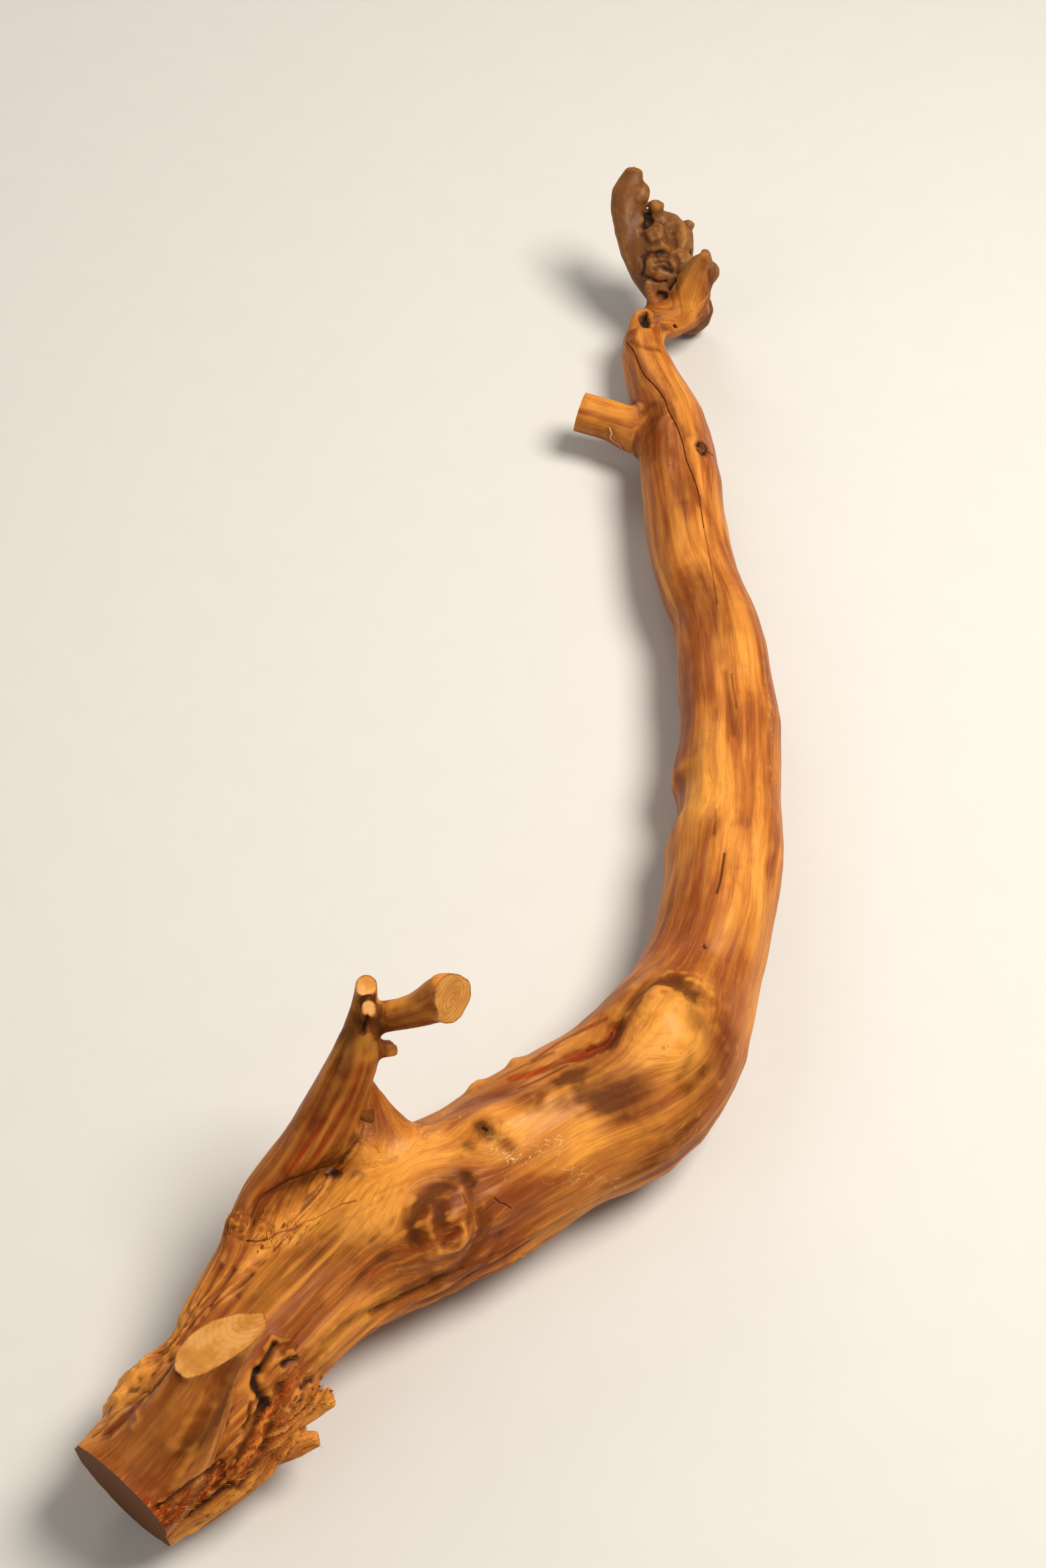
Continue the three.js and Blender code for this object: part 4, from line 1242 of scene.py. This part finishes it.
class Graph:
    """Makes a node tree's nodes and joins them: an input is given as a socket, a number or a colour."""

    def __init__(self, tree):
        self.tree = tree

    def add(self, kind, inputs=None, **settings):
        node = self.tree.nodes.new(kind)
        for name, value in settings.items():
            setattr(node, name, value)
        for key, value in (inputs or {}).items():
            socket = node.inputs[key]
            if isinstance(value, bpy.types.NodeSocket):
                self.tree.links.new(value, socket)
            else:
                socket.default_value = value
        return node

    def number(self, name):
        return self.add("ShaderNodeAttribute", attribute_name=name).outputs["Fac"]

    def vector(self, name):
        return self.add("ShaderNodeAttribute", attribute_name=name).outputs["Vector"]

    def math(self, operation, *values, clamp=False):
        inputs = dict(enumerate(values))
        return self.add("ShaderNodeMath", inputs, operation=operation, use_clamp=clamp).outputs[0]

    def times(self, first, second, clamp=False):
        return self.math("MULTIPLY", first, second, clamp=clamp)

    def plus(self, first, second, clamp=False):
        return self.math("ADD", first, second, clamp=clamp)

    def stretched(self, vector, across, along, shift=0.0):
        """The wood's coordinates in cells that are so wide and so long, in mm."""
        scale = (1000 / across, 1000 / across, 1000 / along)
        return self.add("ShaderNodeMapping", {
            "Vector": vector, "Scale": scale, "Location": (shift,) * 3}).outputs[0]

    def noise(self, vector, detail=2.0, roughness=0.5, distortion=0.0):
        return self.add("ShaderNodeTexNoise", {
            "Vector": vector, "Scale": 1.0, "Detail": detail, "Roughness": roughness,
            "Distortion": distortion}).outputs[0]

    def evened(self, noise, share):
        """Noise with that share of its contrast."""
        return self.math("ADD", self.math("MULTIPLY", self.math("SUBTRACT", noise, 0.5), share), 0.5)

    def span(self, value, low, high, to_low=0.0, to_high=1.0):
        return self.add("ShaderNodeMapRange", {
            "Value": value, "From Min": low, "From Max": high, "To Min": to_low, "To Max": to_high,
        }, interpolation_type="SMOOTHSTEP").outputs[0]

    def mix(self, share, first, second, blend="MIX"):
        node = self.add("ShaderNodeMix", data_type="RGBA", blend_type=blend, clamp_factor=True)
        for socket, value in ((node.inputs[0], share), (node.inputs[6], first), (node.inputs[7], second)):
            if isinstance(value, bpy.types.NodeSocket):
                self.tree.links.new(value, socket)
            elif isinstance(value, float):
                socket.default_value = value
            else:
                socket.default_value = (*value, 1.0)
        return node.outputs[2]


def new_material(name):
    material = bpy.data.materials.new(name)
    material.use_nodes = True
    material.node_tree.nodes.clear()
    return material, Graph(material.node_tree)


def finish_material(graph, base, roughness, bump, coat, gloss):
    """Joins colour, roughness and bump to a shader with a thin coat of oil."""
    shader = graph.add("ShaderNodeBsdfPrincipled", {
        "Base Color": base, "Roughness": roughness, "Normal": bump,
        "Coat Weight": coat, "Coat Roughness": 0.3, "Specular IOR Level": gloss})
    output = graph.add("ShaderNodeOutputMaterial")
    graph.tree.links.new(shader.outputs[0], output.inputs[0])


def stored(tree, name, kind="FLOAT"):
    """A named attribute of the surface that a node tree scatters on."""
    node = tree.nodes.new("GeometryNodeInputNamedAttribute")
    node.data_type = kind
    node.inputs["Name"].default_value = name
    return node.outputs["Attribute"]


def scatter_tree(name, make_one, density_from, tilt):
    """A node tree that strews copies over a surface, along its fibres and thickest where it crumbles most."""
    tree = bpy.data.node_groups.new(name, "GeometryNodeTree")
    face = tree.interface
    face.new_socket("Surface", in_out="INPUT", socket_type="NodeSocketGeometry")
    for title in ("Length", "Thickness", "Density"):
        face.new_socket(title, in_out="INPUT", socket_type="NodeSocketFloat")
    face.new_socket("Seed", in_out="INPUT", socket_type="NodeSocketInt")
    face.new_socket("Finish", in_out="INPUT", socket_type="NodeSocketMaterial")
    face.new_socket("Strewn", in_out="OUTPUT", socket_type="NodeSocketGeometry")
    g = Graph(tree)
    given = tree.nodes.new("NodeGroupInput").outputs
    spots = g.add("GeometryNodeDistributePointsOnFaces", {
        "Mesh": given["Surface"], "Seed": given["Seed"],
        "Density": g.times(given["Density"], density_from(g))})
    stray = g.add("FunctionNodeRandomValue", {"Min": (-0.3, -0.3, -0.3), "Max": (0.3, 0.3, 0.3)},
                  data_type="FLOAT_VECTOR")
    lift = g.add("ShaderNodeVectorMath", {0: spots.outputs["Normal"], "Scale": tilt}, operation="SCALE")
    along = g.add("ShaderNodeVectorMath", {0: stored(tree, "forward", "FLOAT_VECTOR"), 1: lift.outputs[0]},
                  operation="ADD")
    along = g.add("ShaderNodeVectorMath", {0: along.outputs[0], 1: stray.outputs["Value"]}, operation="ADD")
    turn = g.add("FunctionNodeAlignRotationToVector", {"Vector": spots.outputs["Normal"]}, axis="Z")
    turn = g.add("FunctionNodeAlignRotationToVector", {
        "Rotation": turn.outputs[0], "Vector": along.outputs[0]}, axis="X")
    size = g.add("FunctionNodeRandomValue", {"Min": 0.45, "Max": 1.3}, data_type="FLOAT")
    strewn = g.add("GeometryNodeInstanceOnPoints", {
        "Points": spots.outputs["Points"], "Instance": make_one(g, given),
        "Rotation": turn.outputs[0], "Scale": [out for out in size.outputs if out.enabled][0]})
    real = g.add("GeometryNodeRealizeInstances", {"Geometry": strewn.outputs[0]})
    done = g.add("GeometryNodeSetMaterial", {"Geometry": real.outputs[0], "Material": given["Finish"]})
    end = tree.nodes.new("NodeGroupOutput")
    tree.links.new(done.outputs[0], end.inputs[0])
    return tree


def splinter(g, given):
    """A thin fibre that is fixed at one end and bends up to a point."""
    thick = given["Thickness"]
    middle = g.add("ShaderNodeCombineXYZ", {"X": g.times(given["Length"], 0.5), "Z": 0.0})
    end = g.add("ShaderNodeCombineXYZ", {"X": given["Length"], "Z": g.times(given["Length"], 0.2)})
    line = g.add("GeometryNodeCurveQuadraticBezier", {
        "Resolution": 4, "Start": (0.0, 0.0, 0.0), "Middle": middle.outputs[0], "End": end.outputs[0]})
    far = g.add("GeometryNodeSplineParameter").outputs["Factor"]
    taper = g.add("GeometryNodeSetCurveRadius", {
        "Curve": line.outputs[0], "Radius": g.span(far, 0.0, 1.0, 1.0, 0.12)})
    ring = g.add("GeometryNodeCurvePrimitiveCircle", {"Resolution": 5, "Radius": thick})
    made = g.add("GeometryNodeCurveToMesh", {
        "Curve": taper.outputs[0], "Profile Curve": ring.outputs[0], "Fill Caps": True})
    return made.outputs[0]


def flake(g, given):
    """A thin broken chip of old bark."""
    ball = g.add("GeometryNodeMeshIcoSphere", {
        "Radius": g.times(given["Length"], 0.5), "Subdivisions": 2})
    spot = g.add("GeometryNodeInputPosition").outputs[0]
    rough = g.add("ShaderNodeTexNoise", {"Vector": spot, "Scale": 450.0, "Detail": 2.0})
    rough = g.plus(0.45, rough.outputs[0])
    broken = g.add("ShaderNodeVectorMath", {0: spot, "Scale": rough}, operation="SCALE")
    flat = g.add("ShaderNodeCombineXYZ", {"X": 1.2, "Y": 0.55, "Z": 0.22})
    shape = g.add("ShaderNodeVectorMath", {0: broken.outputs[0], 1: flat.outputs[0]}, operation="MULTIPLY")
    return g.add("GeometryNodeSetPosition", {
        "Geometry": ball.outputs[0], "Position": shape.outputs[0]}).outputs[0]


def strew(node, title, tree, **inputs):
    """Scatters small parts on a finished piece and keeps them as a plain mesh inside the part's box."""
    wood = bpy.data.objects[f"{node}_wood"]
    carrier = object_of("carrier", wood.data.copy())
    scatter = carrier.modifiers.new(title, "NODES")
    scatter.node_group = tree
    keys = {item.name: item.identifier for item in tree.interface.items_tree if item.in_out == "INPUT"}
    for name, value in inputs.items():
        scatter[keys[name.capitalize()]] = value
    carrier.update_tag()
    made = bpy.data.meshes.new_from_object(carrier.evaluated_get(bpy.context.evaluated_depsgraph_get()))
    surface = carrier.data
    bpy.data.objects.remove(carrier)
    bpy.data.meshes.remove(surface)
    if not made.polygons:
        raise RuntimeError(f"{title} strewed nothing on the {node}")
    spots = np.empty(len(made.vertices) * 3, np.float32)
    made.vertices.foreach_get("co", spots)
    low, high = (np.array(corner) for corner in CAD_BOX)
    spots = np.clip(spots.reshape(-1, 3), low + 0.05 * MM, high - 0.05 * MM)
    made.vertices.foreach_set("co", spots.astype(np.float32).ravel())
    made.update()
    piece = object_of(f"{node}_{title}", made)
    made.name = piece.name
    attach(piece, "root")
    return piece


@functools.cache
def frayed_fibre():
    """Dry fibres, pale at the worn ones and brown at the fresh ones."""
    material, g = new_material("frayed_fibre")
    tint = colours()
    place = g.add("ShaderNodeTexCoord").outputs["Object"]
    patch = g.noise(g.stretched(place, 6, 6), 3, 0.6)
    grit = g.noise(g.stretched(place, 0.5, 0.5, 3.0), 2, 0.6)
    base = g.mix(g.span(patch, 0.35, 0.65), tint.russet, tint.honey)
    base = g.mix(g.span(grit, 0.4, 0.7, 0.0, 0.5), base, tint.amber)
    bump = g.add("ShaderNodeBump", {"Strength": 0.4, "Distance": 0.0003, "Height": grit})
    finish_material(g, base, g.span(grit, 0.3, 0.7, 0.55, 0.8), bump.outputs[0], 0.0, 0.15)
    return material


@functools.cache
def old_bark():
    """Brown bark that stayed on the butt in small broken chips."""
    material, g = new_material("old_bark")
    tint = colours()
    place = g.add("ShaderNodeTexCoord").outputs["Object"]
    patch = g.noise(g.stretched(place, 5, 5), 3, 0.6)
    grit = g.noise(g.stretched(place, 0.7, 0.7, 2.0), 3, 0.65)
    base = g.mix(g.span(patch, 0.4, 0.65), tint.russet, tint.amber)
    base = g.mix(g.span(grit, 0.5, 0.3, 0.0, 0.6), base, tint.umber)
    base = g.mix(g.span(grit, 0.55, 0.75, 0.0, 0.5), base, tint.honey)
    bump = g.add("ShaderNodeBump", {"Strength": 0.7, "Distance": 0.0005, "Height": grit})
    finish_material(g, base, g.span(grit, 0.3, 0.7, 0.6, 0.85), bump.outputs[0], 0.0, 0.12)
    return material


@functools.cache
def skin_wood():
    """Oiled wood along its fibres, with its dark, red and pale marks, some of them painted shade and painted
    highlight, and painted shade in its clefts and cracks.
    """
    material, g = new_material("skin_wood")
    tint = colours()
    grain = g.vector("grain")
    place = g.add("ShaderNodeTexCoord").outputs["Object"]
    calm = g.span(g.number("calm"), 0.0, 1.0, 1.0, 0.35)
    clouds = g.evened(g.noise(g.stretched(grain, 24, 110), 3, 0.5, 0.4), calm)
    bands = g.evened(g.noise(g.stretched(grain, 8, 130, 3.1), 3, 0.55, 0.5), calm)
    streaks = g.noise(g.stretched(grain, 2.4, 70, 7.7), 4, 0.6, 0.4)
    fibres = g.noise(g.stretched(grain, 0.6, 26, 1.3), 3, 0.6)
    mottle = g.noise(g.stretched(place, 9, 9, 2.2), 4, 0.6)
    pores = g.noise(g.stretched(grain, 0.35, 3.2, 5.5), 1, 0.5)
    rubbed = g.plus(g.span(clouds, 0.38, 0.66, -0.2, 0.5), g.span(bands, 0.35, 0.7, -0.15, 0.35))
    rubbed = g.plus(rubbed, g.times(g.number("honey"), 0.75), clamp=True)
    deep = g.plus(g.span(clouds, 0.58, 0.34, 0.0, 0.8), g.span(bands, 0.58, 0.36, 0.0, 0.4))
    spared = g.math("SUBTRACT", 1.0, g.times(g.number("honey"), 0.9), clamp=True)
    deep = g.times(deep, spared)
    base = g.mix(deep, tint.amber, tint.russet)
    base = g.mix(rubbed, base, tint.honey)
    rust = g.times(g.number("rust"), g.span(streaks, 0.3, 0.62, 0.25, 1.0), clamp=True)
    base = g.mix(g.span(rust, 0.0, 0.5, 0.0, 0.8), base, tint.russet)
    base = g.mix(g.span(rust, 0.5, 1.0, 0.0, 0.95), base, tint.rust)
    wave = g.plus(g.number("rings"), g.times(g.math("SUBTRACT", clouds, 0.5), 0.014))
    wave = g.plus(wave, g.times(g.math("SUBTRACT", bands, 0.5), 0.004))
    wave = g.math("SINE", g.times(wave, math.tau / sizes().ring))
    lines = g.times(g.span(wave, 0.45, 1.0), g.span(mottle, 0.35, 0.6, 0.25, 1.0))
    lines = g.times(lines, g.plus(0.17, g.times(g.number("bite"), 0.4)))
    base = g.mix(lines, base, tint.russet)
    base = g.mix(g.span(streaks, 0.56, 0.3, 0.0, 0.34), base, tint.russet)
    base = g.mix(g.span(fibres, 0.58, 0.36, 0.0, 0.26), base, tint.russet)
    base = g.mix(g.span(fibres, 0.54, 0.74, 0.0, 0.3), base, tint.honey)
    gnarled = g.times(g.number("curl"), g.span(mottle, 0.3, 0.7, 0.95, 0.7))
    base = g.mix(gnarled, base, tint.bark)
    dark = g.times(g.number("umber"), g.span(bands, 0.25, 0.7, 1.15, 0.6))
    dark = g.times(dark, g.span(mottle, 0.3, 0.65, 1.1, 0.75), clamp=True)
    base = g.mix(g.times(dark, 0.82), base, tint.umber)
    base = g.mix(g.span(pores, 0.66, 0.78, 0.0, 0.35), base, tint.umber)
    crumbled = g.times(g.number("crumb"), g.span(mottle, 0.42, 0.62), clamp=True)
    base = g.mix(g.times(crumbled, 0.35), base, tint.russet)
    # Painted shade: the skin darkens towards umber in its clefts, where it lies below its evened shape; the
    # clefts are also rougher.
    cleft = g.span(g.number("hollow"), 0.04, 0.5)
    base = g.mix(g.times(cleft, 0.75), base, tint.umber)
    crest = g.span(g.number("hollow"), -0.06, -0.4)
    crest = g.times(crest, g.span(g.number("curl"), 0.0, 1.0, 0.4, 0.16))
    base = g.mix(crest, base, tint.honey)
    scribble = g.noise(g.stretched(grain, 4, 15, 4.4), 3, 0.55, 0.8)
    scribble = g.span(g.math("ABSOLUTE", g.math("SUBTRACT", scribble, 0.5)), 0.022, 0.004)
    broken = g.span(g.noise(g.stretched(place, 5, 5, 8.0), 2, 0.6), 0.42, 0.54, 0.0, 0.6)
    frayed = g.times(g.times(scribble, broken), g.number("chalk"), clamp=True)
    frayed = g.math("MAXIMUM", frayed, g.span(g.number("chalk"), 1.4, 2.2, 0.0, 0.8))
    base = g.mix(frayed, base, tint.chalk)
    # Painted shade: near black at the bottom of cracks and pits, fullest where the skin lies deepest.
    soot = g.times(g.number("soot"), g.span(g.number("hollow"), -0.2, 0.12, 0.25, 1.0), clamp=True)
    base = g.mix(soot, base, tint.soot)
    rough = g.plus(g.span(streaks, 0.3, 0.7, 0.44, 0.56), g.times(frayed, 0.3))
    rough = g.plus(rough, g.times(cleft, 0.25))
    rough = g.plus(rough, g.times(g.number("worn"), 0.08))
    rough = g.plus(rough, g.times(g.number("crumb"), 0.2), clamp=True)
    height = g.plus(g.times(fibres, 0.35), g.times(streaks, 0.8))
    height = g.plus(height, g.times(frayed, 0.7))
    height = g.math("SUBTRACT", height, g.times(lines, 0.25))
    bump = g.add("ShaderNodeBump", {"Strength": 0.5, "Distance": 0.0005, "Height": height})
    matt = g.plus(dark, g.times(rust, 0.5), clamp=True)
    finish_material(g, base, rough, bump.outputs[0], g.span(matt, 0.0, 0.6, 0.06, 0.0),
                    g.span(matt, 0.0, 0.8, 0.18, 0.05))
    return material


@functools.cache
def end_grain():
    """A sawn face: growth rings round the pith, fine rays and saw marks."""
    material, g = new_material("end_grain")
    tint = colours()
    grain = g.vector("grain")
    place = g.add("ShaderNodeTexCoord").outputs["Object"]
    patches = g.noise(g.stretched(place, 13, 13), 4, 0.6)
    wander = g.noise(g.stretched(grain, 9, 30, 2.0), 3, 0.5)
    wave = g.plus(g.number("sawn_rings"), g.times(g.math("SUBTRACT", wander, 0.5), 0.004))
    wave = g.math("SINE", g.times(wave, math.tau / (1.1 * sizes().ring)))
    lines = g.times(g.span(wave, 0.2, 1.0), g.span(patches, 0.35, 0.6, 0.3, 1.0))
    lines = g.times(lines, g.span(g.number("sawn_rings"), 0.007, 0.02, 0.6, 0.3))
    lines = g.times(lines, g.span(g.number("sawn_pale"), 0.0, 1.0, 1.0, 0.2))
    grit = g.noise(g.stretched(place, 0.6, 0.6, 1.0), 2, 0.7)
    saw = g.noise(g.stretched(place, 40, 1.4, 6.0), 2, 0.5)
    base = g.mix(g.span(patches, 0.35, 0.68, 0.0, 0.6), tint.sawn, tint.honey)
    base = g.mix(g.span(patches, 0.52, 0.3, 0.0, 0.35), base, tint.amber)
    base = g.mix(lines, base, tint.russet)
    base = g.mix(g.span(grit, 0.6, 0.35, 0.0, 0.2), base, tint.russet)
    # Painted shade: a face that lies in shade, the butt's most of all, is darkened towards umber.
    base = g.mix(g.number("sawn_shade"), base, tint.umber)
    pale = g.times(g.number("sawn_pale"), g.span(patches, 0.46, 0.6), clamp=True)
    base = g.mix(g.times(pale, 0.4), base, tint.chalk)
    base = g.mix(g.span(g.number("sawn_rim"), 0.15, 1.0, 0.0, 0.75), base, tint.russet)
    rough = g.span(grit, 0.3, 0.7, 0.55, 0.75)
    height = g.plus(g.times(grit, 0.5), g.times(saw, 0.6))
    height = g.math("SUBTRACT", height, g.times(lines, 0.4))
    bump = g.add("ShaderNodeBump", {"Strength": 0.5, "Distance": 0.0005, "Height": height})
    finish_material(g, base, rough, bump.outputs[0], 0.0, 0.12)
    return material


def pale_floor():
    material, g = new_material("studio_floor")
    place = g.add("ShaderNodeTexCoord").outputs["Object"]
    speck = g.noise(g.stretched(place, 30, 30), 3, 0.5)
    base = g.mix(g.span(speck, 0.3, 0.7, 0.0, 0.06), colours().floor, (0.5, 0.5, 0.5))
    shader = g.add("ShaderNodeBsdfPrincipled", {"Base Color": base, "Roughness": 0.85})
    output = g.add("ShaderNodeOutputMaterial")
    g.tree.links.new(shader.outputs[0], output.inputs[0])
    return material


def lamp(name, at, aim, size, watts, tint):
    data = bpy.data.lights.new(name, "AREA")
    data.shape = "DISK"
    data.size = size
    data.energy = watts
    data.color = tint
    made = object_of(name, data)
    made.location = at
    made.rotation_euler = (Vector(aim) - Vector(at)).to_track_quat("-Z", "Y").to_euler()


def dress(slot):
    """Puts the carved wood on every solid of a material slot."""
    for node in [node for node, its_slot in PIECES.items() if its_slot == slot]:
        cut_piece(node)
    return {"FINISHED"}


class ROOT_OT_stem(Operator):
    """Dress the butt, the trunk, the upper stem and the side stub"""

    bl_idname = "root.stem"
    bl_label = "Stem"

    def execute(self, context):
        return dress("stem_wood")


class ROOT_OT_branches(Operator):
    """Dress the cut stem, the side branch and its arm"""

    bl_idname = "root.branches"
    bl_label = "Branches"

    def execute(self, context):
        return dress("branch_wood")


class ROOT_OT_crown(Operator):
    """Dress the gnarled crown"""

    bl_idname = "root.crown"
    bl_label = "Crown"

    def execute(self, context):
        return dress("crown_wood")


class ROOT_OT_frays(Operator):
    """Strew frayed fibres and flakes of old bark over the crumbled wood"""

    bl_idname = "root.frays"
    bl_label = "Fibres and bark flakes"

    def execute(self, context):
        size = sizes()
        frayed = scatter_tree(
            "Frayed fibres", splinter, lambda g: g.span(stored(g.tree, "crumb"), 0.25, 0.8), 0.35)
        for node in ("butt", "trunk"):
            strew(node, "fibres", frayed, length=size.fibre, thickness=0.035 * size.fibre,
                  density=45000.0, seed=size.seed, finish=frayed_fibre())
        flaked = scatter_tree(
            "Bark flakes", flake, lambda g: g.span(stored(g.tree, "crumb"), 0.45, 0.9), 0.1)
        strew("butt", "bark", flaked, length=size.flake, thickness=0.0,
              density=18000.0, seed=size.seed + 1, finish=old_bark())
        return {"FINISHED"}


class ROOT_OT_stage(Operator):
    """Set up the pale floor, the soft lights and the camera"""

    bl_idname = "root.stage"
    bl_label = "Stage"

    def execute(self, context):
        size = 6.0
        corners = np.array([(x, y, 0.0) for x, y in ((-1, -1), (1, -1), (1, 1), (-1, 1))]) * size
        floor = object_of("studio_floor", mesh_of("studio_floor", corners, np.array([(0, 1, 2), (0, 2, 3)])))
        floor.data.materials.append(pale_floor())
        lamp("key", (1.0, 0.0, 1.9), (0.0, -0.1, 0.0), 1.0, 58, (1.0, 0.93, 0.83))
        lamp("fill", (-1.9, -1.2, 1.5), (0.0, -0.1, 0.0), 1.8, 12, (1.0, 0.92, 0.82))
        lamp("back", (-0.6, 2.2, 1.4), (0.0, 0.2, 0.0), 1.2, 12, (1.0, 0.92, 0.82))
        world = bpy.data.worlds.new("studio")
        world.use_nodes = True
        background = world.node_tree.nodes["Background"]
        background.inputs["Color"].default_value = (1.0, 0.96, 0.91, 1)
        background.inputs["Strength"].default_value = 0.26
        context.scene.world = world
        data = bpy.data.cameras.new("camera")
        data.lens = LENS
        data.sensor_fit = "VERTICAL"
        data.sensor_height = SENSOR
        camera = object_of("camera", data)
        camera.location = placed(CAMERA_AT)
        camera.rotation_euler = (math.pi / 2 - CAMERA_DOWN, 0, 0)
        context.scene.camera = camera
        context.scene.view_settings.view_transform = "Standard"
        return {"FINISHED"}


OPERATORS = (ROOT_OT_stem, ROOT_OT_branches, ROOT_OT_crown, ROOT_OT_frays, ROOT_OT_stage)


class ROOT_PT_panel(Panel):
    """The root's pieces, sizes and colours"""

    bl_idname = "ROOT_PT_panel"
    bl_label = "Stabilized root wood"
    bl_space_type = "VIEW_3D"
    bl_region_type = "UI"
    bl_category = "Root"

    def draw(self, context):
        for operator in OPERATORS:
            self.layout.operator(operator.bl_idname)
        for group in (sizes(), colours()):
            box = self.layout.box()
            for name in group.bl_rna.properties.keys():
                if name not in ("rna_type", "name"):
                    box.prop(group, name)


CLASSES = (RootSizes, RootColours, RootSettings, *OPERATORS, ROOT_PT_panel)


def register():
    for item in CLASSES:
        bpy.utils.register_class(item)
    bpy.types.Scene.root_settings = PointerProperty(type=RootSettings)


def unregister():
    del bpy.types.Scene.root_settings
    for item in reversed(CLASSES):
        bpy.utils.unregister_class(item)


def main():
    register()
    bpy.ops.root.stage()
    bpy.ops.root.stem()
    bpy.ops.root.branches()
    bpy.ops.root.crown()
    bpy.ops.root.frays()


if __name__ == "__main__":
    main()
